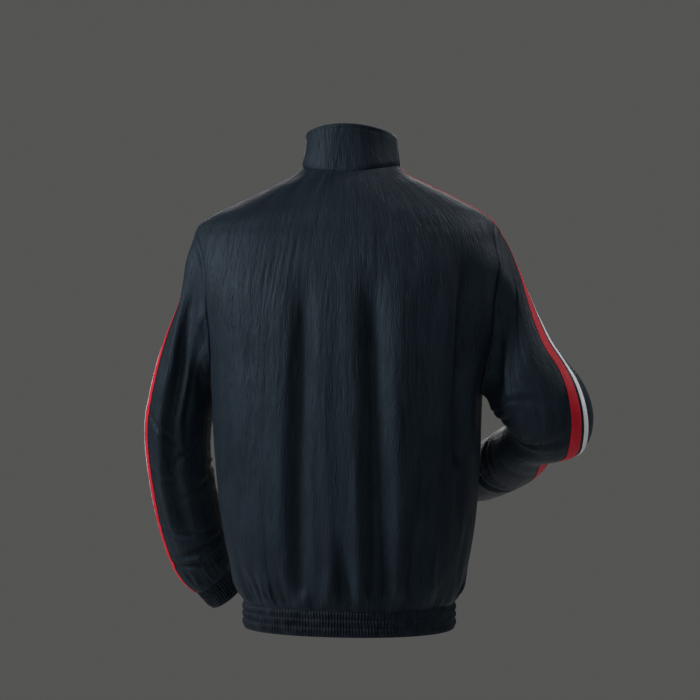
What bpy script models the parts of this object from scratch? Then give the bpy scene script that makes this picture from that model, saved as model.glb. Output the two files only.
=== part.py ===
"""Reversible windbreaker: stand collar, zip front, shirred hem band and cuffs, tapes on sleeves.

Metres, +Z up. The front faces -Y and the wearer's left is +X. The origin is the centre of
the neck opening at the height of the collar seam. Angles run round the body from the left
side (0) through the centre back (90 degrees) to the right side (180).
"""

import math

import bpy
import numpy as np

# Walls and the spaces left between neighbouring pieces.
CLOTH = 0.0020
BAND_WALL = 0.0030
HALF_SEAM = 0.0002
ARMHOLE_SEAM = 0.00045
RING_SEAM = 0.0003
COLLAR_SEAM = 0.0005

# Body: height, half width, back, front, middle, squareness of the plan.
TORSO_SECTIONS = (
    (-0.626, 0.155, 0.137, -0.112, 0.012, 2.20),
    (-0.600, 0.167, 0.149, -0.120, 0.015, 2.20),
    (-0.560, 0.176, 0.156, -0.122, 0.018, 2.30),
    (-0.500, 0.186, 0.159, -0.120, 0.022, 2.35),
    (-0.400, 0.193, 0.160, -0.116, 0.028, 2.45),
    (-0.300, 0.197, 0.157, -0.112, 0.032, 2.50),
    (-0.220, 0.204, 0.151, -0.106, 0.030, 2.50),
    (-0.150, 0.213, 0.138, -0.096, 0.024, 2.45),
    (-0.100, 0.219, 0.122, -0.086, 0.016, 2.30),
    (-0.080, 0.214, 0.113, -0.082, 0.012, 2.20),
    (-0.064, 0.197, 0.107, -0.080, 0.010, 2.10),
    (-0.045, 0.163, 0.098, -0.066, 0.008, 2.00),
    (-0.023, 0.119, 0.084, -0.052, 0.006, 2.00),
    (-0.004, 0.083, 0.068, -0.044, 0.000, 2.00),
    (0.008, 0.071, 0.064, -0.040, -0.003, 2.00),
)
# Long soft folds: angle, top, bottom, half width, depth.
FOLDS = (
    (72.0, -0.13, -0.626, 0.016, 0.009),
    (119.0, -0.12, -0.626, 0.017, 0.010),
    (99.5, -0.50, -0.626, 0.010, 0.006),
    (137.5, -0.48, -0.626, 0.012, 0.007),
    (58.0, -0.53, -0.626, 0.010, 0.005),
    (160.0, -0.11, -0.430, 0.013, 0.015),
    (212.0, -0.30, -0.626, 0.014, 0.007),
    (236.0, -0.16, -0.626, 0.015, 0.008),
    (292.0, -0.16, -0.626, 0.015, 0.008),
    (318.0, -0.34, -0.626, 0.014, 0.007),
)
# Places drawn outwards by the arms: angle, spread, reach, and the heights where it comes and goes.
FLARES = (
    (180.0, 13.0, 0.026, -0.095, -0.150, -0.235, -0.335),
    (0.0, 34.0, 0.013, -0.030, -0.078, -0.160, -0.290),
)
GATHERS, GATHER_DEPTH, GATHER_TOP = 18, 0.0030, -0.562

# Armholes: middle height, half height, reach to the back and to the front in degrees.
ARMHOLES = {"left": (-0.192, 0.112, 20.0, 19.0), "right": (-0.202, 0.122, 9.0, 19.0)}
TOP_SQUARENESS, LOW_SQUARENESS = 2.5, 2.2

# Grid lines of the panels.
HEM_Z, YOKE_BACK, YOKE_FRONT = -0.626, -0.098, -0.108
HEM_ROWS = (-0.626, -0.618, -0.606, -0.588, -0.565)
SIDE_ROWS = 7
FRONT_ARM_ROWS, SHOULDER_ROWS = 7, 6
BACK_ANGLES = (
    0, 6, 12, 18, 24, 30, 37, 44, 51, 58, 65, 72, 79, 86, 93, 99.5,
    106, 112.5, 119, 125, 131, 137.5, 143, 149, 154.5, 160, 165, 170, 175, 180,
)  # fmt: skip
FRONT_ANGLES = (0, 7, 14, 21, 28, 35, 42, 49, 56, 63, 70, 77, 84, 90)
TAPE_LINES = (0.001, 0.010, 0.019, 0.024, 0.029, 0.034)
ZIP_HALF = 0.0065

# Collar: plan taper, heights of its top at the back, the sides and the front.
COLLAR_TAPER, COLLAR_ROWS = 0.93, 3
COLLAR_TOP_BACK, COLLAR_TOP_SIDE, COLLAR_TOP_FRONT = 0.065, 0.052, 0.012

# Hem band and cuffs.
BAND_BOTTOM, BAND_RIBS, RIB_DEPTH = -0.664, 128, 0.0008
CUFF_RIBS = 26

# Sleeves: centre, half depth outwards, half width front to back, outward direction and how
# far the outer line, with its tapes, is turned to the back in degrees.
SLEEVE_STATIONS = {
    "left": (
        ((0.250, 0.010, -0.322), 0.047, 0.078, (0.95, 0.00, 0.20), 50),
        ((0.260, 0.010, -0.372), 0.047, 0.070, (1.00, 0.00, 0.10), 50),
        ((0.262, 0.002, -0.415), 0.046, 0.062, (1.00, 0.00, 0.00), 48),
        ((0.261, -0.018, -0.465), 0.047, 0.056, (1.00, 0.00, -0.05), 46),
        ((0.257, -0.040, -0.515), 0.048, 0.053, (1.00, 0.00, -0.10), 44),
        ((0.250, -0.058, -0.555), 0.048, 0.051, (1.00, 0.00, -0.20), 43),
        ((0.242, -0.070, -0.585), 0.045, 0.047, (1.00, 0.00, -0.40), 42),
        ((0.232, -0.078, -0.606), 0.037, 0.039, (1.00, 0.00, -0.60), 42),
    ),
    "right": (
        ((-0.267, 0.030, -0.315), 0.064, 0.070, (-0.93, 0.10, 0.30), 26),
        ((-0.290, 0.026, -0.341), 0.066, 0.065, (-0.95, 0.12, 0.12), 46),
        ((-0.300, 0.008, -0.367), 0.064, 0.059, (-0.96, 0.10, -0.02), 64),
        ((-0.266, -0.030, -0.392), 0.041, 0.053, (-0.62, 0.05, -0.78), 24),
        ((-0.220, -0.086, -0.424), 0.044, 0.048, (-0.35, 0.05, -0.90), -14),
        ((-0.176, -0.138, -0.447), 0.041, 0.045, (-0.30, 0.00, -0.92), -18),
        ((-0.150, -0.171, -0.459), 0.036, 0.038, (-0.30, 0.00, -0.92), -18),
    ),
}
CUFF_ENDS = {"left": (0.213, -0.091, -0.634), "right": (-0.127, -0.201, -0.470)}
BEND_SPREAD = {"left": 0.030, "right": 0.048}
YOKE_ROWS, ARM_ROWS = 6, 16
# Inside of the right elbow: place round the sleeve before the underarm, row, run in rows, narrowness.
ELBOW_INSIDE, ELBOW_ROW, ELBOW_RUN, ELBOW_POWER = 0.06, 9.5, 3.0, 3.0
# Hollows of a sleeve: place round it, half width, place down it in lengths of the yoke, run, depth.
SLEEVE_DENTS = {
    "left": (
        (0.50, 0.14, 0.42, 0.26, 0.008),
        (0.12, 0.035, 0.60, 0.45, 0.006),
        (0.29, 0.045, 0.55, 0.45, 0.007),
    ),
    "right": (
        (0.16, 0.05, 0.60, 0.40, 0.007),
        (0.34, 0.06, 0.75, 0.35, 0.004),
        (0.54, 0.12, 1.86, 0.26, 0.006),
    ),
}

# Tapes: space under them and thickness.
TAPE_LIFT, TAPE_THICK, TAPE_END = 0.0003, 0.0008, 0.0010

# Zip: tapes, slider, pull tab and box.
ZIP_EDGE, ZIP_INNER, ZIP_RECESS, ZIP_THICK = 0.0062, 0.0003, 0.0006, 0.0012
SLIDER_Z, SLIDER_SIZE = 0.0000, (0.0092, 0.0130)
PIN_OUT, PIN_RADIUS, EAR_IN, EAR_OUT = 0.0048, 0.0008, 0.0026, 0.0038
BARREL_RADIUS, BARREL_HOLE, BARREL_HALF = 0.0019, 0.0011, 0.0021
TAB_HALF, TAB_LENGTH, TAB_THICK = 0.0040, 0.0270, 0.0016
BOX_TOP = -0.6550

NAVY = (0.012, 0.018, 0.032)
RIB_NAVY = (0.010, 0.014, 0.024)
RED = (0.560, 0.010, 0.030)
WHITE = (0.830, 0.850, 0.880)
ZIP_NAVY = (0.014, 0.018, 0.028)
METAL = (0.420, 0.430, 0.450)


def monotone(places, values):
    """A smooth curve through the points that never overshoots them."""
    x, y = np.asarray(places, float), np.asarray(values, float)
    step = np.diff(x)
    slope = np.diff(y) / step
    m = np.zeros(len(x))
    same = slope[:-1] * slope[1:] > 0
    before, after = 2 * step[1:] + step[:-1], step[1:] + 2 * step[:-1]
    low = np.where(same, slope[:-1], 1.0)
    high = np.where(same, slope[1:], 1.0)
    m[1:-1] = np.where(same, (before + after) / (before / low + after / high), 0.0)
    m[0], m[-1] = slope[0], slope[-1]

    def at(where):
        where = np.clip(where, x[0], x[-1])
        k = np.clip(np.searchsorted(x, where) - 1, 0, len(step) - 1)
        t = (where - x[k]) / step[k]
        start = (1 + 2 * t) * (1 - t) ** 2 * y[k] + t * (1 - t) ** 2 * step[k] * m[k]
        end = t * t * (3 - 2 * t) * y[k + 1] + t * t * (t - 1) * step[k] * m[k + 1]
        return start + end

    return at


TORSO_CURVES = [
    monotone([row[0] for row in TORSO_SECTIONS], [row[k] for row in TORSO_SECTIONS])
    for k in range(1, 6)
]


def ramp(value, start, end):
    """0 at start and 1 at end, smooth between them."""
    t = np.clip((value - start) / (end - start), 0.0, 1.0)
    return t * t * (3 - 2 * t)


def apart(phi, degrees):
    """Signed angle from a place given in degrees."""
    return (phi - math.radians(degrees) + math.pi) % (2 * math.pi) - math.pi


def fold_sink(phi, z, radius):
    """Depth of the cloth's folds and of the gathers above the hem band."""
    sink = np.zeros_like(phi + z)
    for angle, top, bottom, width, depth in FOLDS:
        away = apart(phi, angle) * radius / width
        shape = np.exp(-(away**2)) - 0.30 * np.exp(-((np.abs(away) - 1.9) ** 2))
        low = ramp(z, bottom, bottom + 0.035)
        sink = sink + depth * shape * ramp(z, top, top - 0.10) * low
    swing = GATHERS * phi + 0.9 * np.sin(3 * phi + 0.7) + 0.6 * np.sin(5 * phi)
    swell = 0.25 + 0.75 * ramp(z, HEM_Z, HEM_Z + 0.014)
    calm = ramp(np.abs(np.cos(phi)) * radius, 0.006, 0.020)
    wave = np.where(np.sin(phi) < 0, calm, 1.0) * np.cos(swing)
    sink = sink + GATHER_DEPTH * wave * swell * ramp(z, GATHER_TOP, HEM_Z + 0.020)
    for angle, spread, reach, top, full, fading, bottom in FLARES:
        away = apart(phi, angle) / math.radians(spread)
        span = ramp(z, top, full) * ramp(z, bottom, fading)
        sink = sink - reach * np.exp(-(away**2)) * span
    return sink


def torso_point(phi, z):
    """Outside of the body cloth at an angle and a height."""
    phi, z = np.broadcast_arrays(np.asarray(phi, float), np.asarray(z, float))
    half, back, front, middle, power = (curve(z) for curve in TORSO_CURVES)
    depth = np.where(np.sin(phi) > 0, back - middle, middle - front)
    across = (np.abs(np.cos(phi)) / half) ** power
    along = (np.abs(np.sin(phi)) / depth) ** power
    radius = (across + along) ** (-1 / power)
    radius = radius - fold_sink(phi, z, radius)
    return np.stack([radius * np.cos(phi), middle + radius * np.sin(phi), z], axis=-1)


def torso_normal(phi, z):
    """Outward direction of the body cloth."""
    phi, z = np.broadcast_arrays(np.asarray(phi, float), np.asarray(z, float))
    d = 0.004
    round_way = torso_point(phi + 2 * d, z) - torso_point(phi - 2 * d, z)
    low = np.maximum(z - d, HEM_Z)
    up_way = torso_point(phi, np.minimum(z + d, 0.008)) - torso_point(phi, low)
    return unit(np.cross(round_way, up_way))


def unit(vector):
    length = np.linalg.norm(vector, axis=-1, keepdims=True)
    return vector / np.maximum(length, 1e-12)


def neckline(phi):
    """Height of the collar seam, which dips to the front."""
    s = np.sin(phi)
    front = 0.070 * np.abs(np.minimum(s, 0)) ** 1.6
    return 0.008 - front - 0.012 * np.maximum(s, 0) ** 1.5


def armhole(w, side):
    """Angle and height round an armhole: 0 armpit, .25 back, .5 shoulder, .75 front."""
    middle, rise, back, front = ARMHOLES[side]
    c, s = np.cos(2 * np.pi * w), np.sin(2 * np.pi * w)
    power = np.where(c < 0, TOP_SQUARENESS, LOW_SQUARENESS)
    z = middle - rise * np.sign(c) * np.abs(c) ** (2 / power)
    reach = np.radians(np.where(s > 0, back, front))
    angle = reach * np.sign(s) * np.abs(s) ** (2 / power)
    return (angle if side == "left" else np.pi - angle), z


def side_angle(phi, side):
    """Turns an angle measured from the side line backwards into the body's own."""
    return phi if side == "left" else np.pi - phi


def tape_turn(side):
    """Place on the armhole where the tapes' front edge meets it."""
    trial = 0.5 + np.linspace(0.0, 0.12, 481)
    points = torso_point(*armhole(trial, side))
    run = np.linalg.norm(points - points[0], axis=-1)
    return float(np.interp(TAPE_LINES[-1], run, trial))


def armhole_points(side):
    """Angle and height of the seam points shared by the body and the sleeve."""
    turn = tape_turn(side)
    back = armhole(np.arange(9) / 16, side)
    corner = armhole(np.array([0.5, turn]), side)
    share = np.array(TAPE_LINES) / TAPE_LINES[-1]
    tape = [line[0] + (line[1] - line[0]) * share for line in corner]
    front = armhole(np.linspace(turn, 1.0, FRONT_ARM_ROWS + 1)[1:-1], side)
    return tuple(np.concatenate([back[k], tape[k], front[k]]) for k in (0, 1))


def row_heights(count, yoke, top):
    """Heights of a panel's rows along its middle, with the shoulder rows above the yoke."""
    low = count - len(HEM_ROWS) - SHOULDER_ROWS
    rest = np.linspace(HEM_ROWS[-1], yoke, low + 1)[1:]
    return np.concatenate([HEM_ROWS, rest, np.linspace(yoke, top, SHOULDER_ROWS + 1)[1:]])


def side_rows(side):
    """Heights of the rows from the hem to the armpit."""
    armpit = ARMHOLES[side][0] - ARMHOLES[side][1]
    return np.concatenate([HEM_ROWS, np.linspace(HEM_ROWS[-1], armpit, SIDE_ROWS)[1:]])


def shoulder_rows(side, phi):
    """Heights from the shoulder point to the collar seam, without the first."""
    start = ARMHOLES[side][0] + ARMHOLES[side][1]
    return np.linspace(start, float(neckline(phi)), SHOULDER_ROWS + 1)[1:]


def back_edge(side):
    """Angle from the side line and height of the back panel's edge, from hem to collar."""
    angle, z = armhole_points(side)
    angle, z = side_angle(angle, side)[1:9], z[1:9]
    low, high = side_rows(side), shoulder_rows(side, 0.0)
    angle = np.concatenate([np.zeros(len(low)), angle, np.zeros(len(high))])
    return angle, np.concatenate([low, z, high])


def back_grid():
    """Angles and heights of the back panel, left edge to right edge."""
    places = np.array(BACK_ANGLES, float)
    halves = []
    for side, chosen in (("left", places <= 90), ("right", places > 90)):
        edge_angle, edge_z = back_edge(side)
        share = places[chosen] / 90 if side == "left" else (180 - places[chosen]) / 90
        inset = HALF_SEAM / np.linalg.norm(torso_point(edge_angle, edge_z)[:, :2], axis=1)
        seam = (edge_angle == 0) * inset
        edge_angle = (edge_angle + seam)[:, None]
        angle = edge_angle + (np.pi / 2 - edge_angle) * share
        middle_z = row_heights(len(edge_z), YOKE_BACK, float(neckline(np.pi / 2)))[:, None]
        z = edge_z[:, None] + (middle_z - edge_z[:, None]) * ramp(share, 0, 1)
        z[-1] = neckline(angle[-1])
        halves.append((side_angle(angle, side), z))
    return tuple(np.concatenate([halves[0][k], halves[1][k]], axis=1) for k in (0, 1))


def zip_angle(z, side):
    """Angle before the side line at which the cloth ends beside the zip."""
    angle = np.full_like(z, -np.pi / 2 + 0.06)
    for _ in range(12):
        radius = np.linalg.norm(
            (torso_point(side_angle(angle, side), z) - np.array([0, 1, 0]) * middle_y(z))[..., :2],
            axis=-1,
        )
        angle = -np.pi / 2 + np.arcsin(ZIP_HALF / radius)
    return angle


def middle_y(z):
    return TORSO_CURVES[3](z)[..., None]


def front_grid(side):
    """Angles, heights and the quads present of a front panel, shoulder strip first."""
    angle, z = armhole_points(side)
    angle = side_angle(angle, side)
    low = side_rows(side)
    arm_angle, arm_z = angle[:13:-1], z[:13:-1]
    strip = np.array(TAPE_LINES)
    strip_angle, strip_z = angle[9:15], z[9:15]
    first = len(low) + FRONT_ARM_ROWS - 1
    rows = first + 1 + SHOULDER_ROWS
    climb = np.linspace(0, 1, SHOULDER_ROWS + 1)[1:, None]
    seam_top = shoulder_rows(side, 0.0)
    radius = np.linalg.norm(torso_point(side_angle(0.0, side), seam_top)[:, :2], axis=1)
    high_angle = -strip / radius[:, None]
    high_z = strip_z + (neckline(high_angle[-1]) - strip_z) * climb
    seam_angle = -HALF_SEAM / radius
    start = (-HALF_SEAM / 0.2, ARMHOLES[side][0] + ARMHOLES[side][1])

    edge_angle = np.concatenate([np.zeros(len(low)), arm_angle, high_angle[:, -1]])
    edge_z = np.concatenate([low, arm_z, high_z[:, -1]])
    edge_angle = edge_angle - (edge_angle == 0) * HALF_SEAM / 0.197
    share = np.array(FRONT_ANGLES, float) / 90
    middle_z = row_heights(len(edge_z), YOKE_FRONT, float(neckline(-np.pi / 2)))[:, None]
    main_z = edge_z[:, None] + (middle_z - edge_z[:, None]) * ramp(share, 0, 1)
    end = zip_angle(main_z[:, -1], side)[:, None]
    main = edge_angle[:, None] + (end - edge_angle[:, None]) * share
    main_z[-1] = neckline(main[-1])

    all_angle = np.zeros((rows, 6 + len(share)))
    all_z = np.full_like(all_angle, HEM_Z)
    all_angle[:, 6:], all_z[:, 6:] = main, main_z
    all_angle[first, 0], all_z[first, 0] = start
    all_angle[first, 1:6], all_z[first, 1:6] = strip_angle[:5], strip_z[:5]
    all_angle[first + 1 :, 0], all_z[first + 1 :, 0] = seam_angle, seam_top
    all_angle[first + 1 :, 1:6], all_z[first + 1 :, 1:6] = high_angle[:, :5], high_z[:, :5]
    present = np.ones((rows - 1, 5 + len(share)), bool)
    present[:first, :6] = False
    return side_angle(all_angle, side), all_z, present, first


def level(normals, row):
    """Makes the wall's cut along one row level."""
    normals[row, :, 2] = 0.0
    normals[row] = unit(normals[row])
    return normals


def quad_triangles(rows, columns, present=None, closed=False):
    """Triangles of a grid of points, with the same diagonal everywhere."""
    found = []
    for i in range(rows - 1):
        for j in range(columns if closed else columns - 1):
            if present is not None and not present[i, j]:
                continue
            a, b = i * columns + j, i * columns + (j + 1) % columns
            c, d = b + columns, a + columns
            found += [(a, b, c), (a, c, d)]
    return found


def wall_mesh(outer, inner, triangles):
    """Points and faces of a wall between two matching surfaces, rims included."""
    outer, inner = outer.reshape(-1, 3), inner.reshape(-1, 3)
    used = sorted({k for triangle in triangles for k in triangle})
    place = {k: n for n, k in enumerate(used)}
    faces = [tuple(place[k] for k in triangle) for triangle in triangles]
    edges = {}
    for a, b, c in faces:
        for edge in ((a, b), (b, c), (c, a)):
            edges[edge] = edges.get(edge, 0) + 1
    count = len(used)
    rims = [(a, b) for a, b in edges if (b, a) not in edges]
    walls = list(faces) + [(c + count, b + count, a + count) for a, b, c in faces]
    for a, b in rims:
        walls += [(b, a, a + count), (b, a + count, b + count)]
    return np.concatenate([outer[used], inner[used]]), walls


def signed_volume(points, faces):
    triangles = points[np.array(faces)]
    return float(np.einsum("ij,ij->", triangles[:, 0], np.cross(triangles[:, 1], triangles[:, 2])))


def material(name, colour, roughness, metallic=0.0):
    """A plain material, made once."""
    found = bpy.data.materials.get(name)
    if found is None:
        found = bpy.data.materials.new(name)
        found.use_nodes = True
        shader = found.node_tree.nodes["Principled BSDF"]
        shader.inputs["Base Color"].default_value = (*colour, 1.0)
        shader.inputs["Roughness"].default_value = roughness
        shader.inputs["Metallic"].default_value = metallic
        found.diffuse_color = (*colour, 1.0)
    return found


def add_object(name, points, faces, look, smooth=True):
    """One closed body, facing out."""
    points = np.asarray(points, float)
    if signed_volume(points, faces) < 0:
        faces = [tuple(reversed(face)) for face in faces]
    mesh = bpy.data.meshes.new(name)
    mesh.from_pydata([tuple(map(float, point)) for point in points], [], faces)
    mesh.polygons.foreach_set("use_smooth", [smooth] * len(mesh.polygons))
    mesh.update()
    made = bpy.data.objects.new(name, mesh)
    bpy.context.scene.collection.objects.link(made)
    mesh.materials.append(look)
    return made


def build_back(cloth):
    angle, z = back_grid()
    outer = torso_point(angle, z)
    normals = level(torso_normal(angle, z), 0)
    normals = share_normals(normals, back_shared())
    triangles = quad_triangles(*angle.shape)
    add_object("back", *wall_mesh(outer, outer - CLOTH * normals, triangles), cloth)


def back_shared():
    """Grid places of the armhole points on the back panel: side, seam point, row, column."""
    found = []
    for side in ("left", "right"):
        column = 0 if side == "left" else len(BACK_ANGLES) - 1
        start = len(side_rows(side)) - 1
        found += [(side, k, start + k, column) for k in range(9)]
    return found


def front_shared(side, first):
    found = [(side, (21 - k) % 21, first - FRONT_ARM_ROWS + k, 6) for k in range(7)]
    found += [(side, 8, first, 0)]
    return found + [(side, 8 + k, first, k) for k in range(1, 7)]


def share_normals(normals, shared):
    """Along an armhole the two walls lie side by side wherever the cloth runs on."""
    for side, seam, row, column in shared:
        other = SLEEVE_STARTS[side]["normals"][seam]
        if float(normals[row, column] @ other) > 0.5:
            normals[row, column] = unit(normals[row, column] + other)
    return normals


def build_front(side, cloth):
    """One front panel; returns what its tapes are made from."""
    angle, z, present, first = front_grid(side)
    outer = torso_point(angle, z)
    normals = level(torso_normal(angle, z), 0)
    normals = share_normals(normals, front_shared(side, first))
    triangles = quad_triangles(*angle.shape, present)
    wall = wall_mesh(outer, outer - CLOTH * normals, triangles)
    add_object("front_" + side, *wall, cloth)
    return outer[first:, :7], normals[first:, :7]


def tape_patch(points, normals, trim):
    """A thin tape over a strip of cloth, trimmed at its last row."""
    points, normals = points.copy(), normals.copy()
    last = points[-1] - points[-2]
    points[-1] -= last * (trim / np.linalg.norm(last, axis=-1, keepdims=True))
    low = points + TAPE_LIFT * normals
    high = points + (TAPE_LIFT + TAPE_THICK) * normals
    triangles = quad_triangles(points.shape[0], points.shape[1])
    return wall_mesh(high, low, triangles)


def build_tapes(prefix, side, points, normals, looks, trim):
    """The wide and the narrow tape on the seven lines of a strip."""
    for name, look, lines in (("red", looks[0], (1, 4)), ("white", looks[1], (4, 7))):
        chosen = slice(*lines)
        patch = tape_patch(points[:, chosen], normals[:, chosen], trim)
        add_object(f"{prefix}_tape_{name}_{side}", *patch, look)


def sleeve_path(side, share):
    """Centre, half depth, half width, outward direction, direction of run and turn."""
    stations = SLEEVE_STATIONS[side]
    centres = np.array([row[0] for row in stations])
    run = np.concatenate([[0], np.cumsum(np.linalg.norm(np.diff(centres, axis=0), axis=1))])
    where = np.asarray(share) * run[-1]

    def along(values):
        return np.stack([monotone(run, column)(where) for column in np.transpose(values)], -1)

    eps = BEND_SPREAD[side]
    before, after = np.clip(where - eps, 0, run[-1]), np.clip(where + eps, 0, run[-1])
    curve = [monotone(run, centres[:, k]) for k in range(3)]
    way = unit(np.stack([c(after) - c(before) for c in curve], -1))
    way[where >= run[-1]] = unit(np.array(CUFF_ENDS[side]) - centres[-1])
    sizes = along([(*row[1:3], row[4]) for row in stations])
    outward = along([row[3] for row in stations])
    outward = unit(outward - (outward * way).sum(-1, keepdims=True) * way)
    return along(centres), sizes[..., 0], sizes[..., 1], outward, way, sizes[..., 2]


def ring_points(centre, a, b, outward, way, places, side, turn=0.0):
    """Points round a sleeve's section; its outer line is turned to the back."""
    backward = np.cross(outward, way) if side == "left" else np.cross(way, outward)
    shifted = places - turn / 360 * (1 - np.cos(2 * np.pi * places)) / 2
    angle = 2 * np.pi * shifted[:, None]
    return centre - outward * a * np.cos(angle) + backward * b * np.sin(angle)


def ring_places(section):
    """Fractions round a ring for the sleeve's columns; the tape lines keep their widths."""
    trial = np.linspace(0.5, 0.8, 121)
    points = section(trial)
    steps = np.linalg.norm(np.diff(points, axis=0), axis=-1)
    tape = np.interp(TAPE_LINES, np.concatenate([[0], np.cumsum(steps)]), trial)
    front = tape[-1] + (1 - tape[-1]) * np.arange(1, FRONT_ARM_ROWS) / FRONT_ARM_ROWS
    return np.concatenate([np.arange(9) / 16, tape, front])


def seam_start(side):
    """Points, body normals and leaving directions of the sleeve at its armhole."""
    angle, z = armhole_points(side)
    points, normals = torso_point(angle, z), torso_normal(angle, z)
    ahead = np.roll(points, -1, axis=0) - np.roll(points, 1, axis=0)
    middle = torso_point(side_angle(np.zeros(1), side), np.array([ARMHOLES[side][0]]))
    outward = unit(np.cross(normals, ahead))
    outward *= np.sign((outward * (middle - points)).sum(-1, keepdims=True))
    way = sleeve_path(side, np.array([0.0]))[4]
    hand = 1.0 if side == "left" else -1.0
    turn = tape_turn(side)
    share = np.array(TAPE_LINES) / TAPE_LINES[-1]
    rest = turn + (1 - turn) * np.arange(1, FRONT_ARM_ROWS) / FRONT_ARM_ROWS
    places = np.concatenate([np.arange(9) / 16, 0.5 + (turn - 0.5) * share, rest])
    low = ((1 + np.cos(2 * np.pi * places)) / 2)[:, None]
    below = unit(way * (1 - 0.2 * low) + np.array([hand, 0, 0]) * (0.75 * low + 0.10))
    mix = (0.3 * (1 - np.cos(2 * np.pi * places)))[:, None]
    leave = eased(points, unit(outward * mix + below * (1 - mix)))
    return points + ARMHOLE_SEAM * leave, normals, leave


def eased(points, vectors, reach=0.032):
    """Evens out directions along a closed line of points."""
    steps = np.linalg.norm(np.roll(points, -1, axis=0) - points, axis=-1)
    run = np.concatenate([[0], np.cumsum(steps)])
    gaps = np.abs(run[:-1, None] - run[None, :-1])
    gaps = np.minimum(gaps, run[-1] - gaps)
    weights = np.exp(-((gaps / reach) ** 2)) * (steps + np.roll(steps, 1))[None, :]
    return unit(weights @ vectors)


def sleeve_grid(side):
    """Outside points of a sleeve: yoke rows from the armhole, then rings down the arm."""
    points, _, leave = seam_start(side)
    rings, places = [], []
    parts = list(zip(*sleeve_path(side, np.linspace(0, 1, ARM_ROWS + 1))))
    for centre, a, b, outward, way, turn in parts:
        def section(where, ring=(centre, a, b, outward, way), turned=turn):
            return ring_points(*ring, where, side, turned)

        places.append(ring_places(section))
        rings.append(section(places[-1]))
    first, way = rings[0], parts[0][4]
    reach = np.linalg.norm(first - points, axis=-1, keepdims=True)
    rows = []
    for t in np.linspace(0, 1, YOKE_ROWS + 1)[:-1]:
        start = (1 + 2 * t) * (1 - t) ** 2 * points + t * (1 - t) ** 2 * reach * leave
        end = t * t * (3 - 2 * t) * first + t * t * (t - 1) * reach * way
        rows.append(start + end)
    grid = dented(side, np.array(rows + rings), places[0])
    if side == "right":
        grid = relaxed(grid, places[YOKE_ROWS])
    return spaced(grid), parts[-1][4]


def spaced(grid):
    """Puts the tape lines of the yoke rows at their true distances from the outer line."""
    grid = grid.copy()
    for row in grid[1:YOKE_ROWS]:
        line = row[[8, 11, 14, 15, 16, 17]]
        steps = np.linalg.norm(np.diff(line, axis=0), axis=-1)
        run = np.concatenate([[0], np.cumsum(steps)])
        row[9:15] = np.stack([np.interp(TAPE_LINES, run, line[:, k]) for k in range(3)], -1)
    return grid


def relaxed(grid, places):
    """Evens out the inside of the bent elbow, where the rings crowd together."""
    inside = ((1 + np.cos(2 * np.pi * (places + ELBOW_INSIDE))) / 2) ** ELBOW_POWER
    rows = np.arange(len(grid))
    bend = np.exp(-(((rows - ELBOW_ROW) / ELBOW_RUN) ** 2))
    weight = (bend[:, None] * inside)[1:-1, :, None]
    grid = grid.copy()
    for _ in range(30):
        between = (grid[:-2] + grid[2:]) / 2
        grid[1:-1] += 0.5 * weight * (between - grid[1:-1])
    return grid


def dented(side, grid, places):
    """Sinks the hollows of a sleeve."""
    down = (np.arange(len(grid)) / YOKE_ROWS)[:, None]
    normals = ring_normals(grid)
    for place, spread, along, run, depth in SLEEVE_DENTS[side]:
        round_way = np.exp(-(((places - place) / spread) ** 2))[None, :]
        lengthways = np.exp(-(((down - along) / run) ** 2)) * ramp(down, 0.0, 0.3)
        grid = grid - normals * (depth * round_way * lengthways)[..., None]
    return grid


def ring_normals(grid):
    """Outward directions of a closed tube's points."""
    round_way = np.roll(grid, -1, axis=1) - np.roll(grid, 1, axis=1)
    down_way = np.gradient(grid, axis=0)
    normals = unit(np.cross(round_way, down_way))
    centre = grid.mean(axis=1, keepdims=True)
    if float((normals * (grid - centre)).sum()) < 0:
        normals = -normals
    return normals


def start_sleeves():
    """Sleeve grids and the wall directions of their first rows."""
    found = {}
    for side in ("left", "right"):
        grid, end_way = sleeve_grid(side)
        normals = ring_normals(grid)
        normals[-1] -= (normals[-1] * end_way).sum(-1, keepdims=True) * end_way
        normals[-1] = unit(normals[-1])
        found[side] = {"grid": grid, "all": normals, "normals": normals[0].copy()}
    return found


def build_sleeve(side, cloth, looks):
    """A sleeve and the two tapes down its outer line."""
    grid, normals = SLEEVE_STARTS[side]["grid"], SLEEVE_STARTS[side]["all"].copy()
    _, body, _ = seam_start(side)
    for k in range(21):
        if float(normals[0, k] @ body[k]) > 0.5:
            normals[0, k] = unit(normals[0, k] + body[k])
    triangles = quad_triangles(*grid.shape[:2], closed=True)
    wall = wall_mesh(grid, grid - CLOTH * normals, triangles)
    add_object("sleeve_" + side, *wall, cloth)
    build_tapes("sleeve", side, grid[:, 8:15], normals[:, 8:15], looks, 0.0003)


def build_cuff(side, cloth):
    """A ribbed cuff on the sleeve's end."""
    stations = SLEEVE_STATIONS[side]
    start, end = np.array(stations[-1][0]), np.array(CUFF_ENDS[side])
    outward, way = (part[0] for part in sleeve_path(side, np.array([1.0]))[3:5])
    columns = 2 * CUFF_RIBS
    places = np.arange(columns) / columns
    ribs = RIB_DEPTH * np.where(np.arange(columns) % 2 == 0, 1, -1)[:, None]
    outer, inner = [], []
    for share, a, b in ((0.0, 0.0345, 0.0360), (1.0, 0.0325, 0.0345)):
        centre = start + way * RING_SEAM + (end - start) * share
        ring = ring_points(centre, a, b, outward, way, places, side)
        away = unit(ring - centre)
        outer.append(ring + ribs * away)
        inner.append(ring - (BAND_WALL - RIB_DEPTH) * away)
    triangles = quad_triangles(2, columns, closed=True)
    add_object("cuff_" + side, *wall_mesh(np.array(outer), np.array(inner), triangles), cloth)


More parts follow.
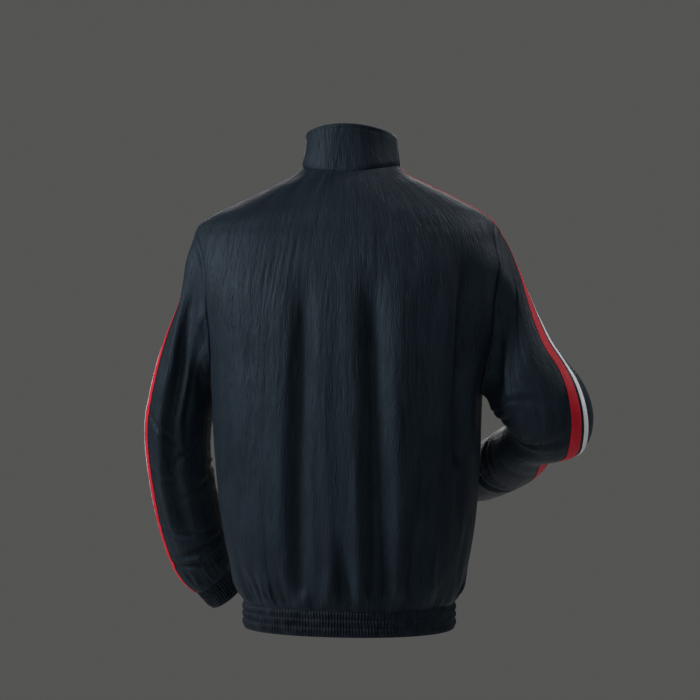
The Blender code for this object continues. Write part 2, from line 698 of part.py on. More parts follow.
def build_collar(cloth):
    """The stand collar, open at the centre front."""
    front, back = front_grid("left")[0][-1], back_grid()[0][-1]
    angle = np.concatenate([front[:0:-1], back, np.pi - front[1:]])
    s = np.sin(angle)
    top = COLLAR_TOP_SIDE + (COLLAR_TOP_BACK - COLLAR_TOP_SIDE) * np.maximum(s, 0) ** 1.5
    top += (COLLAR_TOP_FRONT - COLLAR_TOP_SIDE) * np.maximum(-s, 0) ** 1.3
    base = torso_point(angle, neckline(angle))
    centre_y = TORSO_CURVES[3](neckline(angle))
    outer = []
    for t in np.linspace(0, 1, COLLAR_ROWS + 1):
        shrink = 1 + (COLLAR_TAPER - 1) * t - 0.012 * math.sin(math.pi * t)
        z = neckline(angle) + COLLAR_SEAM + (top - neckline(angle) - COLLAR_SEAM) * t
        x = base[:, 0] * shrink
        x = np.where(np.abs(x) < 0.03, base[:, 0] * (1 + (shrink - 1) * np.abs(x) / 0.03), x)
        y = centre_y + (base[:, 1] - centre_y) * shrink
        outer.append(np.stack([x, y, z], -1))
    outer = np.array(outer)
    outer[:, 0, 0], outer[:, -1, 0] = ZIP_HALF, -ZIP_HALF
    normals = unit(np.cross(np.gradient(outer, axis=1), np.gradient(outer, axis=0)))
    normals[:, [0, -1], 0] = 0.0
    normals[[0, -1], :, 2] = 0.0
    inner = outer - BAND_WALL * unit(normals)
    add_object("collar", *wall_mesh(outer, inner, quad_triangles(*outer.shape[:2])), cloth)


def build_band(cloth):
    """The shirred hem band, open at the centre front."""
    z = np.array([HEM_Z])
    edge = float(zip_angle(z, "left")[0])
    columns = 2 * BAND_RIBS
    angle = np.linspace(edge, np.pi - edge, columns + 1)
    half, back, front, middle, power = (curve(HEM_Z) for curve in TORSO_CURVES)
    depth = np.where(np.sin(angle) > 0, back - middle, middle - front)
    radius = (np.abs(np.cos(angle) / half) ** power + np.abs(np.sin(angle) / depth) ** power) ** (
        -1 / power
    )
    ribs = RIB_DEPTH * np.where(np.arange(columns + 1) % 2 == 0, 1, -1)
    ribs[[0, -1]] = 0.0

    def ring(size, height):
        x, y = size * np.cos(angle), middle + size * np.sin(angle)
        x[0], x[-1] = ZIP_HALF, -ZIP_HALF
        return np.stack([x, y, np.full_like(x, height)], -1)

    heights = (BAND_BOTTOM, HEM_Z - RING_SEAM)
    outer = np.array([ring(radius + ribs, height) for height in heights])
    inner = np.array([ring(radius - BAND_WALL + RIB_DEPTH, height) for height in heights])
    add_object("hem_band", *wall_mesh(outer, inner, quad_triangles(*outer.shape[:2])), cloth)


def front_line(z):
    """Y of the cloth's outside at the centre front, band and collar included."""
    z = np.asarray(z, float)
    base_z = float(neckline(-np.pi / 2))
    body = torso_point(-np.pi / 2, np.clip(z, HEM_Z, base_z))[..., 1]
    centre = float(TORSO_CURVES[3](base_z))
    climb = np.clip((z - base_z) / (COLLAR_TOP_FRONT - base_z), 0, 1)
    shrink = 1 + (COLLAR_TAPER - 1) * climb - 0.012 * np.sin(np.pi * climb)
    return np.where(z > base_z, centre + (body - centre) * shrink, body)


def build_zip_tapes(look):
    """The two halves of the zip, parted where the slider sits."""
    z = np.concatenate([
        [BOX_TOP + RING_SEAM], HEM_ROWS, np.linspace(HEM_ROWS[-1], -0.070, 14)[1:],
        np.linspace(-0.0605, SLIDER_Z - 0.008, 5),
        [SLIDER_Z - 0.005, SLIDER_Z + 0.004, COLLAR_TOP_FRONT],
    ])  # fmt: skip
    y = front_line(z) + ZIP_RECESS
    inner_edge = ZIP_INNER + (0.0021 - ZIP_INNER) * ramp(z, SLIDER_Z - 0.008, SLIDER_Z - 0.005)
    for side, hand in (("left", 1.0), ("right", -1.0)):
        near = np.stack([hand * inner_edge, y, z], -1)
        far = np.stack([np.full_like(y, hand * ZIP_EDGE), y, z], -1)
        face = np.stack([near, far], axis=1)
        behind = face + np.array([0, ZIP_THICK, 0])
        triangles = quad_triangles(*face.shape[:2])
        add_object("zip_tape_" + side, *wall_mesh(face, behind, triangles), look)


def box(centre, size):
    """Points and faces of a box."""
    corners = np.array([(x, y, z) for x in (-1, 1) for y in (-1, 1) for z in (-1, 1)])
    faces = [(0, 1, 3, 2), (4, 6, 7, 5), (0, 4, 5, 1), (2, 3, 7, 6), (0, 2, 6, 4), (1, 5, 7, 3)]
    split = [part for a, b, c, d in faces for part in ((a, b, c), (a, c, d))]
    return np.array(centre) + corners * np.array(size) / 2, split


def rod(centre, radius, half, sides):
    """Points and faces of a cylinder along X."""
    turn = 2 * np.pi * (np.arange(sides) + 0.5) / sides
    ring = np.stack([np.zeros(sides), radius * np.cos(turn), radius * np.sin(turn)], -1)
    points = np.concatenate([ring - (half, 0, 0), ring + (half, 0, 0)]) + np.array(centre)
    faces = []
    for k in range(sides):
        n = (k + 1) % sides
        faces += [(k, n, n + sides), (k, n + sides, k + sides)]
    faces += [(0, k + 1, k) for k in range(1, sides - 1)]
    return points, faces + [(sides, sides + k, sides + k + 1) for k in range(1, sides - 1)]


def tilt(points):
    """Leans the slider's parts with the front of the collar; the pin is the pivot."""
    slope = (front_line(SLIDER_Z + 0.006) - front_line(SLIDER_Z - 0.010)) / 0.016
    lean = math.atan(float(slope))
    y, z = points[:, 1], points[:, 2]
    turned = points.copy()
    turned[:, 1] = y * math.cos(lean) + z * math.sin(lean)
    turned[:, 2] = -y * math.sin(lean) + z * math.cos(lean)
    return turned + pin_centre()


def pin_centre():
    return np.array([0.0, float(front_line(SLIDER_Z)) - PIN_OUT, SLIDER_Z])


def joined(name, pieces, look, cutters=()):
    """One body from overlapping pieces, less any cutters."""
    def made(label, piece):
        points, faces = piece
        return add_object(label, tilt(points), faces, look, smooth=False)

    body = made(name, pieces[0])
    rest = [(piece, "UNION") for piece in pieces[1:]]
    rest += [(piece, "DIFFERENCE") for piece in cutters]
    for k, (piece, operation) in enumerate(rest):
        helper = made(f"{name}_helper_{k}", piece)
        helper.hide_render = True
        helper.display_type = "WIRE"
        step = body.modifiers.new(f"step_{k}", "BOOLEAN")
        step.operation, step.solver, step.object = operation, "EXACT", helper
    return body


def build_slider(look):
    """Front and back plates joined between the tapes, with two ears and a pin."""
    width, height = SLIDER_SIZE
    front, back = PIN_OUT - 0.0021, PIN_OUT + 0.0003
    low, deep = -0.0035, 0.0012
    face = box((0, (front + back) / 2, low), (width, back - front, height))
    rear_y = PIN_OUT + ZIP_RECESS + ZIP_THICK + 0.0004
    rear = box((0, rear_y + deep / 2, low), (width, deep, height - 0.001))
    web_back = rear_y + deep / 2
    web = box((0, (front + web_back) / 2 + 0.0003, 0.0005), (0.0030, web_back - front - 0.0006, 0.0040))
    ears = []
    for hand in (-1, 1):
        x = hand * (EAR_IN + EAR_OUT) / 2
        ears.append(box((x, 0.0010, 0), (EAR_OUT - EAR_IN, 0.0046, 0.0036)))
    pin = rod((0, 0, 0), PIN_RADIUS, (EAR_IN + EAR_OUT) / 2, 12)
    joined("zip_slider", [face, rear, web, *ears, pin], look)


def build_pull(look):
    """The pull tab hanging from the slider's pin."""
    barrel = rod((0, 0, 0), BARREL_RADIUS, BARREL_HALF, 20)
    neck = box((0, 0, -0.0033), (2 * BARREL_HALF - 0.0004, TAB_THICK, 0.0040))
    plate = box((0, 0, -0.0046 - TAB_LENGTH / 2), (2 * TAB_HALF, TAB_THICK - 0.0002, TAB_LENGTH))
    hole = rod((0, 0, 0), BARREL_HOLE, 0.0040, 16)
    joined("zip_pull", [barrel, neck, plate], look, cutters=[hole])


def build_box(look):
    """The box that closes the zip's lower end."""
    y = float(front_line(BAND_BOTTOM)) + ZIP_RECESS + ZIP_THICK / 2
    middle = (BAND_BOTTOM + BOX_TOP) / 2
    points, faces = box((0, y, middle), (2 * ZIP_EDGE - 0.0006, 0.0030, BOX_TOP - BAND_BOTTOM))
    add_object("zip_box", points, faces, look, smooth=False)


def clear():
    for found in list(bpy.data.objects):
        bpy.data.objects.remove(found, do_unlink=True)


clear()
SLEEVE_STARTS = start_sleeves()
NYLON = material("navy_nylon", NAVY, 0.45)
RIBBING = material("navy_ribbing", RIB_NAVY, 0.60)
TAPE_LOOKS = (material("red_tape", RED, 0.55), material("white_tape", WHITE, 0.60))
ZIP_CLOTH = material("zip_tape_navy", ZIP_NAVY, 0.70)
ZIP_METAL = material("zip_metal", METAL, 0.35, 1.0)

build_back(NYLON)
for SIDE in ("left", "right"):
    STRIP, STRIP_NORMALS = build_front(SIDE, NYLON)
    build_tapes("shoulder", SIDE, STRIP, STRIP_NORMALS, TAPE_LOOKS, TAPE_END)
    build_sleeve(SIDE, NYLON, TAPE_LOOKS)
    build_cuff(SIDE, RIBBING)
build_collar(NYLON)
build_band(RIBBING)
build_zip_tapes(ZIP_CLOTH)
build_slider(ZIP_METAL)
build_pull(ZIP_METAL)
build_box(ZIP_METAL)
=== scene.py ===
"""Dresses the windbreaker's solids: crinkled nylon, shirred ribbing, tapes, zip and stitching.

Metres, +Z up. The front faces -Y and the left sleeve is on +X. Angles run round the body
from the left side (0) through the centre back (90 degrees) to the right side (180).
"""

import math

import bpy
import mathutils
import numpy as np
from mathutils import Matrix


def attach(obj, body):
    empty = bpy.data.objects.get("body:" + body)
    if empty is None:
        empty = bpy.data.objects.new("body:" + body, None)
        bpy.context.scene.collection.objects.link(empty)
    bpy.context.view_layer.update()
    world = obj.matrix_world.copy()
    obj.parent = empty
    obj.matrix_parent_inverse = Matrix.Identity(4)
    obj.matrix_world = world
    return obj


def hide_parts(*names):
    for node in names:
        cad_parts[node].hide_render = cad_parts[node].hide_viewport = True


bl_info = {
    "name": "Reversible Windbreaker Cloth",
    "version": (1, 0, 0),
    "blender": (4, 5, 0),
    "location": "3D View > Sidebar > Windbreaker",
    "description": "Builds the cloth, tapes, ribbing, zip and stitching of a windbreaker",
    "category": "Object",
}

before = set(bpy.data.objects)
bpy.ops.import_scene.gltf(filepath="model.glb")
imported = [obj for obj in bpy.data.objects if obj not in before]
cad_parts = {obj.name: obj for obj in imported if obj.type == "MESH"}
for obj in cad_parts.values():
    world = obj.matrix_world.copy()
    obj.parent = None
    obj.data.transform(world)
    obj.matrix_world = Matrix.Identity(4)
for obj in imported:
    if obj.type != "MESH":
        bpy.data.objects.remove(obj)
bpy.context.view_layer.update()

SIDES = ("left", "right")
HAND = {"left": 1.0, "right": -1.0}

# ---------------------------------------------------------------- cut of the garment

HALF_SEAM = 0.0002
ARMHOLE_SEAM = 0.00045
RING_SEAM = 0.0003
COLLAR_SEAM = 0.0005

# Body: height, half width, back, front, middle, squareness of the plan.
TORSO_SECTIONS = (
    (-0.626, 0.155, 0.137, -0.112, 0.012, 2.20),
    (-0.600, 0.167, 0.149, -0.120, 0.015, 2.20),
    (-0.560, 0.176, 0.156, -0.122, 0.018, 2.30),
    (-0.500, 0.186, 0.159, -0.120, 0.022, 2.35),
    (-0.400, 0.193, 0.160, -0.116, 0.028, 2.45),
    (-0.300, 0.197, 0.157, -0.112, 0.032, 2.50),
    (-0.220, 0.204, 0.151, -0.106, 0.030, 2.50),
    (-0.150, 0.213, 0.138, -0.096, 0.024, 2.45),
    (-0.100, 0.219, 0.122, -0.086, 0.016, 2.30),
    (-0.080, 0.214, 0.113, -0.082, 0.012, 2.20),
    (-0.064, 0.197, 0.107, -0.080, 0.010, 2.10),
    (-0.045, 0.163, 0.098, -0.066, 0.008, 2.00),
    (-0.023, 0.119, 0.084, -0.052, 0.006, 2.00),
    (-0.004, 0.083, 0.068, -0.044, 0.000, 2.00),
    (0.008, 0.071, 0.064, -0.040, -0.003, 2.00),
)
# Long soft folds: angle, top, bottom, half width, depth.
FOLDS = (
    (72.0, -0.13, -0.626, 0.016, 0.009),
    (119.0, -0.12, -0.626, 0.017, 0.010),
    (99.5, -0.50, -0.626, 0.010, 0.006),
    (137.5, -0.48, -0.626, 0.012, 0.007),
    (58.0, -0.53, -0.626, 0.010, 0.005),
    (160.0, -0.11, -0.430, 0.013, 0.015),
    (212.0, -0.30, -0.626, 0.014, 0.007),
    (236.0, -0.16, -0.626, 0.015, 0.008),
    (292.0, -0.16, -0.626, 0.015, 0.008),
    (318.0, -0.34, -0.626, 0.014, 0.007),
)
# Places drawn outwards by the arms: angle, spread, reach, and the heights where it comes and goes.
FLARES = (
    (180.0, 13.0, 0.026, -0.095, -0.150, -0.235, -0.335),
    (0.0, 34.0, 0.013, -0.030, -0.078, -0.160, -0.290),
)
GATHERS, GATHER_DEPTH, GATHER_TOP = 18, 0.0030, -0.562

# Armholes: middle height, half height, reach to the back and to the front in degrees.
ARMHOLES = {"left": (-0.192, 0.112, 20.0, 19.0), "right": (-0.202, 0.122, 9.0, 19.0)}
TOP_SQUARENESS, LOW_SQUARENESS = 2.5, 2.2

# Lines of the cut.
HEM_Z, YOKE_BACK, YOKE_FRONT = -0.626, -0.098, -0.108
HEM_ROWS = (-0.626, -0.618, -0.606, -0.588, -0.565)
SIDE_ROWS = 7
FRONT_ARM_ROWS, SHOULDER_ROWS = 7, 6
BACK_ANGLES = (
    0, 6, 12, 18, 24, 30, 37, 44, 51, 58, 65, 72, 79, 86, 93, 99.5,
    106, 112.5, 119, 125, 131, 137.5, 143, 149, 154.5, 160, 165, 170, 175, 180,
)  # fmt: skip
FRONT_ANGLES = (0, 7, 14, 21, 28, 35, 42, 49, 56, 63, 70, 77, 84, 90)
TAPE_LINES = (0.001, 0.010, 0.019, 0.024, 0.029, 0.034)
ZIP_HALF = 0.0065

# Collar: plan taper, heights of its top at the back, the sides and the front.
COLLAR_TAPER = 0.93
COLLAR_TOP_BACK, COLLAR_TOP_SIDE, COLLAR_TOP_FRONT = 0.065, 0.052, 0.012

# Hem band.
BAND_BOTTOM = -0.664

# Sleeves: centre, half depth outwards, half width front to back, outward direction and how
# far the outer line, with its tapes, is turned to the back in degrees.
SLEEVE_STATIONS = {
    "left": (
        ((0.250, 0.010, -0.322), 0.047, 0.078, (0.95, 0.00, 0.20), 50),
        ((0.260, 0.010, -0.372), 0.047, 0.070, (1.00, 0.00, 0.10), 50),
        ((0.262, 0.002, -0.415), 0.046, 0.062, (1.00, 0.00, 0.00), 48),
        ((0.261, -0.018, -0.465), 0.047, 0.056, (1.00, 0.00, -0.05), 46),
        ((0.257, -0.040, -0.515), 0.048, 0.053, (1.00, 0.00, -0.10), 44),
        ((0.250, -0.058, -0.555), 0.048, 0.051, (1.00, 0.00, -0.20), 43),
        ((0.242, -0.070, -0.585), 0.045, 0.047, (1.00, 0.00, -0.40), 42),
        ((0.232, -0.078, -0.606), 0.037, 0.039, (1.00, 0.00, -0.60), 42),
    ),
    "right": (
        ((-0.267, 0.030, -0.315), 0.064, 0.070, (-0.93, 0.10, 0.30), 26),
        ((-0.290, 0.026, -0.341), 0.066, 0.065, (-0.95, 0.12, 0.12), 46),
        ((-0.300, 0.008, -0.367), 0.064, 0.059, (-0.96, 0.10, -0.02), 64),
        ((-0.266, -0.030, -0.392), 0.041, 0.053, (-0.62, 0.05, -0.78), 24),
        ((-0.220, -0.086, -0.424), 0.044, 0.048, (-0.35, 0.05, -0.90), -14),
        ((-0.176, -0.138, -0.447), 0.041, 0.045, (-0.30, 0.00, -0.92), -18),
        ((-0.150, -0.171, -0.459), 0.036, 0.038, (-0.30, 0.00, -0.92), -18),
    ),
}
CUFF_ENDS = {"left": (0.213, -0.091, -0.634), "right": (-0.127, -0.201, -0.470)}
BEND_SPREAD = {"left": 0.030, "right": 0.048}
YOKE_ROWS, ARM_ROWS = 6, 16
ELBOW_INSIDE, ELBOW_ROW, ELBOW_RUN, ELBOW_POWER = 0.06, 9.5, 3.0, 3.0
# Hollows of a sleeve: place round it, half width, place down it in lengths of the yoke, run, depth.
SLEEVE_DENTS = {
    "left": (
        (0.50, 0.14, 0.42, 0.26, 0.008),
        (0.12, 0.035, 0.60, 0.45, 0.006),
        (0.29, 0.045, 0.55, 0.45, 0.007),
    ),
    "right": (
        (0.16, 0.05, 0.60, 0.40, 0.007),
        (0.34, 0.06, 0.75, 0.35, 0.004),
        (0.54, 0.12, 1.86, 0.26, 0.006),
    ),
}

# Zip.
ZIP_EDGE, ZIP_RECESS = 0.0062, 0.0006
SLIDER_Z, BOX_TOP = 0.0, -0.6550


def hermite(t, low, high, low_rise, high_rise):
    """A cubic from low to high with the given rises at its ends."""
    start = (1 + 2 * t) * (1 - t) ** 2 * low + t * (1 - t) ** 2 * low_rise
    return start + t * t * (3 - 2 * t) * high + t * t * (t - 1) * high_rise


def bell(value):
    """1 at 0, and soft to 0 on both sides."""
    return np.exp(-(value**2))


def spans(points, closed=False):
    """Lengths between neighbouring points along the first axis."""
    ahead = np.roll(points, -1, axis=0) - points if closed else np.diff(points, axis=0)
    return np.linalg.norm(ahead, axis=-1)


def run_along(points, closed=False):
    """Distance from the start of a line of points, or down a grid's mean column."""
    steps = spans(points, closed)
    return np.concatenate([[0], np.cumsum(steps if steps.ndim == 1 else steps.mean(axis=1))])


def read_at(where, run, line):
    """Points of a line at distances from its start."""
    return np.stack([np.interp(where, run, column) for column in line.T], -1)


def monotone(places, values):
    """A smooth curve through the points that never overshoots them."""
    x, y = np.asarray(places, float), np.asarray(values, float)
    step = np.diff(x)
    slope = np.diff(y) / step
    m = np.zeros(len(x))
    same = slope[:-1] * slope[1:] > 0
    before, after = 2 * step[1:] + step[:-1], step[1:] + 2 * step[:-1]
    low = np.where(same, slope[:-1], 1.0)
    high = np.where(same, slope[1:], 1.0)
    m[1:-1] = np.where(same, (before + after) / (before / low + after / high), 0.0)
    m[0], m[-1] = slope[0], slope[-1]

    def at(where):
        where = np.clip(where, x[0], x[-1])
        k = np.clip(np.searchsorted(x, where) - 1, 0, len(step) - 1)
        t = (where - x[k]) / step[k]
        return hermite(t, y[k], y[k + 1], step[k] * m[k], step[k] * m[k + 1])

    return at


TORSO_CURVES = [
    monotone([row[0] for row in TORSO_SECTIONS], [row[k] for row in TORSO_SECTIONS])
    for k in range(1, 6)
]


def ramp(value, start, end):
    """0 at start and 1 at end, smooth between them."""
    t = np.clip((value - start) / (end - start), 0.0, 1.0)
    return t * t * (3 - 2 * t)


def apart(phi, degrees):
    """Signed angle from a place given in degrees."""
    return (phi - math.radians(degrees) + math.pi) % (2 * math.pi) - math.pi


def fold_sink(phi, z, radius):
    """Depth of the cloth's folds and of the gathers above the hem band."""
    sink = np.zeros_like(phi + z)
    for angle, top, bottom, width, depth in FOLDS:
        away = apart(phi, angle) * radius / width
        shape = bell(away) - 0.30 * bell(np.abs(away) - 1.9)
        low = ramp(z, bottom, bottom + 0.035)
        sink = sink + depth * shape * ramp(z, top, top - 0.10) * low
    swing = GATHERS * phi + 0.9 * np.sin(3 * phi + 0.7) + 0.6 * np.sin(5 * phi)
    swell = 0.25 + 0.75 * ramp(z, HEM_Z, HEM_Z + 0.014)
    calm = ramp(np.abs(np.cos(phi)) * radius, 0.006, 0.020)
    wave = np.where(np.sin(phi) < 0, calm, 1.0) * np.cos(swing)
    sink = sink + GATHER_DEPTH * wave * swell * ramp(z, GATHER_TOP, HEM_Z + 0.020)
    for angle, spread, reach, top, full, fading, bottom in FLARES:
        away = apart(phi, angle) / math.radians(spread)
        span = ramp(z, top, full) * ramp(z, bottom, fading)
        sink = sink - reach * bell(away) * span
    return sink


def plan_radius(phi, z):
    """Radius of the body's plan without its folds, and the plan's middle."""
    half, back, front, middle, power = (curve(z) for curve in TORSO_CURVES)
    depth = np.where(np.sin(phi) > 0, back - middle, middle - front)
    across = (np.abs(np.cos(phi)) / half) ** power
    along = (np.abs(np.sin(phi)) / depth) ** power
    return (across + along) ** (-1 / power), middle


def torso_point(phi, z):
    """Outside of the body cloth at an angle and a height."""
    phi, z = np.broadcast_arrays(np.asarray(phi, float), np.asarray(z, float))
    radius, middle = plan_radius(phi, z)
    radius = radius - fold_sink(phi, z, radius)
    return np.stack([radius * np.cos(phi), middle + radius * np.sin(phi), z], axis=-1)


def torso_normal(phi, z):
    """Outward direction of the body cloth."""
    phi, z = np.broadcast_arrays(np.asarray(phi, float), np.asarray(z, float))
    d = 0.004
    round_way = torso_point(phi + 2 * d, z) - torso_point(phi - 2 * d, z)
    low = np.maximum(z - d, HEM_Z)
    up_way = torso_point(phi, np.minimum(z + d, 0.008)) - torso_point(phi, low)
    return unit(np.cross(round_way, up_way))


def unit(vector):
    length = np.linalg.norm(vector, axis=-1, keepdims=True)
    return vector / np.maximum(length, 1e-12)


def neckline(phi):
    """Height of the collar seam, which dips to the front."""
    s = np.sin(phi)
    front = 0.070 * np.abs(np.minimum(s, 0)) ** 1.6
    return 0.008 - front - 0.012 * np.maximum(s, 0) ** 1.5


def armhole(w, side):
    """Angle and height round an armhole: 0 armpit, .25 back, .5 shoulder, .75 front."""
    middle, rise, back, front = ARMHOLES[side]
    c, s = np.cos(2 * np.pi * w), np.sin(2 * np.pi * w)
    power = np.where(c < 0, TOP_SQUARENESS, LOW_SQUARENESS)
    z = middle - rise * np.sign(c) * np.abs(c) ** (2 / power)
    reach = np.radians(np.where(s > 0, back, front))
    angle = reach * np.sign(s) * np.abs(s) ** (2 / power)
    return (angle if side == "left" else np.pi - angle), z


def side_angle(phi, side):
    """Turns an angle measured from the side line backwards into the body's own."""
    return phi if side == "left" else np.pi - phi


def tape_turn(side):
    """Place on the armhole where the tapes' front edge meets it."""
    trial = 0.5 + np.linspace(0.0, 0.12, 481)
    points = torso_point(*armhole(trial, side))
    run = np.linalg.norm(points - points[0], axis=-1)
    return float(np.interp(TAPE_LINES[-1], run, trial))


def armhole_points(side):
    """Angle and height of the seam points shared by the body and the sleeve."""
    turn = tape_turn(side)
    back = armhole(np.arange(9) / 16, side)
    corner = armhole(np.array([0.5, turn]), side)
    share = np.array(TAPE_LINES) / TAPE_LINES[-1]
    tape = [line[0] + (line[1] - line[0]) * share for line in corner]
    front = armhole(np.linspace(turn, 1.0, FRONT_ARM_ROWS + 1)[1:-1], side)
    return tuple(np.concatenate([back[k], tape[k], front[k]]) for k in (0, 1))


def row_heights(count, yoke, top):
    """Heights of a panel's rows along its middle, with the shoulder rows above the yoke."""
    low = count - len(HEM_ROWS) - SHOULDER_ROWS
    rest = np.linspace(HEM_ROWS[-1], yoke, low + 1)[1:]
    return np.concatenate([HEM_ROWS, rest, np.linspace(yoke, top, SHOULDER_ROWS + 1)[1:]])


def side_rows(side):
    """Heights of the rows from the hem to the armpit."""
    armpit = ARMHOLES[side][0] - ARMHOLES[side][1]
    return np.concatenate([HEM_ROWS, np.linspace(HEM_ROWS[-1], armpit, SIDE_ROWS)[1:]])


def shoulder_rows(side, phi):
    """Heights from the shoulder point to the collar seam, without the first."""
    start = ARMHOLES[side][0] + ARMHOLES[side][1]
    return np.linspace(start, float(neckline(phi)), SHOULDER_ROWS + 1)[1:]


def back_edge(side):
    """Angle from the side line and height of the back panel's edge, from hem to collar."""
    angle, z = armhole_points(side)
    angle, z = side_angle(angle, side)[1:9], z[1:9]
    low, high = side_rows(side), shoulder_rows(side, 0.0)
    angle = np.concatenate([np.zeros(len(low)), angle, np.zeros(len(high))])
    return angle, np.concatenate([low, z, high])


def back_grid():
    """Angles and heights of the back panel, left edge to right edge."""
    places = np.array(BACK_ANGLES, float)
    halves = []
    for side, chosen in zip(SIDES, (places <= 90, places > 90)):
        edge_angle, edge_z = back_edge(side)
        share = places[chosen] / 90 if side == "left" else (180 - places[chosen]) / 90
        inset = HALF_SEAM / np.linalg.norm(torso_point(edge_angle, edge_z)[:, :2], axis=1)
        seam = (edge_angle == 0) * inset
        edge_angle = (edge_angle + seam)[:, None]
        angle = edge_angle + (np.pi / 2 - edge_angle) * share
        middle_z = row_heights(len(edge_z), YOKE_BACK, float(neckline(np.pi / 2)))[:, None]
        z = edge_z[:, None] + (middle_z - edge_z[:, None]) * ramp(share, 0, 1)
        z[-1] = neckline(angle[-1])
        halves.append((side_angle(angle, side), z))
    return tuple(np.concatenate([halves[0][k], halves[1][k]], axis=1) for k in (0, 1))


def zip_angle(z, side):
    """Angle before the side line at which the cloth ends beside the zip."""
    angle = np.full_like(z, -np.pi / 2 + 0.06)
    for _ in range(12):
        away = torso_point(side_angle(angle, side), z)
        away[..., 1] -= TORSO_CURVES[3](z)
        angle = -np.pi / 2 + np.arcsin(ZIP_HALF / np.linalg.norm(away[..., :2], axis=-1))
    return angle


def front_grid(side):
    """Angles, heights and the quads present of a front panel, shoulder strip first."""
    angle, z = armhole_points(side)
    angle = side_angle(angle, side)
    low = side_rows(side)
    arm_angle, arm_z = angle[:13:-1], z[:13:-1]
    strip = np.array(TAPE_LINES)
    strip_angle, strip_z = angle[9:15], z[9:15]
    first = len(low) + FRONT_ARM_ROWS - 1
    rows = first + 1 + SHOULDER_ROWS
    climb = np.linspace(0, 1, SHOULDER_ROWS + 1)[1:, None]
    seam_top = shoulder_rows(side, 0.0)
    radius = np.linalg.norm(torso_point(side_angle(0.0, side), seam_top)[:, :2], axis=1)
    high_angle = -strip / radius[:, None]
    high_z = strip_z + (neckline(high_angle[-1]) - strip_z) * climb
    seam_angle = -HALF_SEAM / radius
    start = (-HALF_SEAM / 0.2, ARMHOLES[side][0] + ARMHOLES[side][1])

    edge_angle = np.concatenate([np.zeros(len(low)), arm_angle, high_angle[:, -1]])
    edge_z = np.concatenate([low, arm_z, high_z[:, -1]])
    edge_angle = edge_angle - (edge_angle == 0) * HALF_SEAM / 0.197
    share = np.array(FRONT_ANGLES, float) / 90
    middle_z = row_heights(len(edge_z), YOKE_FRONT, float(neckline(-np.pi / 2)))[:, None]
    main_z = edge_z[:, None] + (middle_z - edge_z[:, None]) * ramp(share, 0, 1)
    end = zip_angle(main_z[:, -1], side)[:, None]
    main = edge_angle[:, None] + (end - edge_angle[:, None]) * share
    main_z[-1] = neckline(main[-1])

    all_angle = np.zeros((rows, 6 + len(share)))
    all_z = np.full_like(all_angle, HEM_Z)
    all_angle[:, 6:], all_z[:, 6:] = main, main_z
    all_angle[first, 0], all_z[first, 0] = start
    all_angle[first, 1:6], all_z[first, 1:6] = strip_angle[:5], strip_z[:5]
    all_angle[first + 1 :, 0], all_z[first + 1 :, 0] = seam_angle, seam_top
    all_angle[first + 1 :, 1:6], all_z[first + 1 :, 1:6] = high_angle[:, :5], high_z[:, :5]
    present = np.ones((rows - 1, 5 + len(share)), bool)
    present[:first, :6] = False
    return side_angle(all_angle, side), all_z, present, first


def sleeve_path(side, share):
    """Centre, half depth, half width, outward direction, direction of run and turn."""
    stations = SLEEVE_STATIONS[side]
    centres = np.array([row[0] for row in stations])
    run = run_along(centres)
    where = np.asarray(share) * run[-1]

    def along(values):
        return np.stack([monotone(run, column)(where) for column in np.transpose(values)], -1)

    eps = BEND_SPREAD[side]
    before, after = np.clip(where - eps, 0, run[-1]), np.clip(where + eps, 0, run[-1])
    curve = [monotone(run, centres[:, k]) for k in range(3)]
    way = unit(np.stack([c(after) - c(before) for c in curve], -1))
    way[where >= run[-1]] = unit(np.array(CUFF_ENDS[side]) - centres[-1])
    sizes = along([(*row[1:3], row[4]) for row in stations])
    outward = along([row[3] for row in stations])
    outward = unit(outward - (outward * way).sum(-1, keepdims=True) * way)
    return along(centres), sizes[..., 0], sizes[..., 1], outward, way, sizes[..., 2]


def ring_points(centre, a, b, outward, way, places, side, turn=0.0):
    """Points round a sleeve's section; its outer line is turned to the back."""
    backward = np.cross(outward, way) if side == "left" else np.cross(way, outward)
    shifted = places - turn / 360 * (1 - np.cos(2 * np.pi * places)) / 2
    angle = 2 * np.pi * shifted[:, None]
    return centre - outward * a * np.cos(angle) + backward * b * np.sin(angle)


def ring_places(section):
    """Fractions round a ring for the sleeve's columns; the tape lines keep their widths."""
    trial = np.linspace(0.5, 0.8, 121)
    tape = np.interp(TAPE_LINES, run_along(section(trial)), trial)
    front = tape[-1] + (1 - tape[-1]) * np.arange(1, FRONT_ARM_ROWS) / FRONT_ARM_ROWS
    return np.concatenate([np.arange(9) / 16, tape, front])


def seam_start(side):
    """Points, body normals and leaving directions of the sleeve at its armhole."""
    angle, z = armhole_points(side)
    points, normals = torso_point(angle, z), torso_normal(angle, z)
    ahead = np.roll(points, -1, axis=0) - np.roll(points, 1, axis=0)
    middle = torso_point(side_angle(np.zeros(1), side), np.array([ARMHOLES[side][0]]))
    outward = unit(np.cross(normals, ahead))
    outward *= np.sign((outward * (middle - points)).sum(-1, keepdims=True))
    way = sleeve_path(side, np.array([0.0]))[4]
    hand = HAND[side]
    turn = tape_turn(side)
    share = np.array(TAPE_LINES) / TAPE_LINES[-1]
    rest = turn + (1 - turn) * np.arange(1, FRONT_ARM_ROWS) / FRONT_ARM_ROWS
    places = np.concatenate([np.arange(9) / 16, 0.5 + (turn - 0.5) * share, rest])
    low = ((1 + np.cos(2 * np.pi * places)) / 2)[:, None]
    below = unit(way * (1 - 0.2 * low) + np.array([hand, 0, 0]) * (0.75 * low + 0.10))
    mix = (0.3 * (1 - np.cos(2 * np.pi * places)))[:, None]
    leave = eased(points, unit(outward * mix + below * (1 - mix)))
    return points + ARMHOLE_SEAM * leave, normals, leave


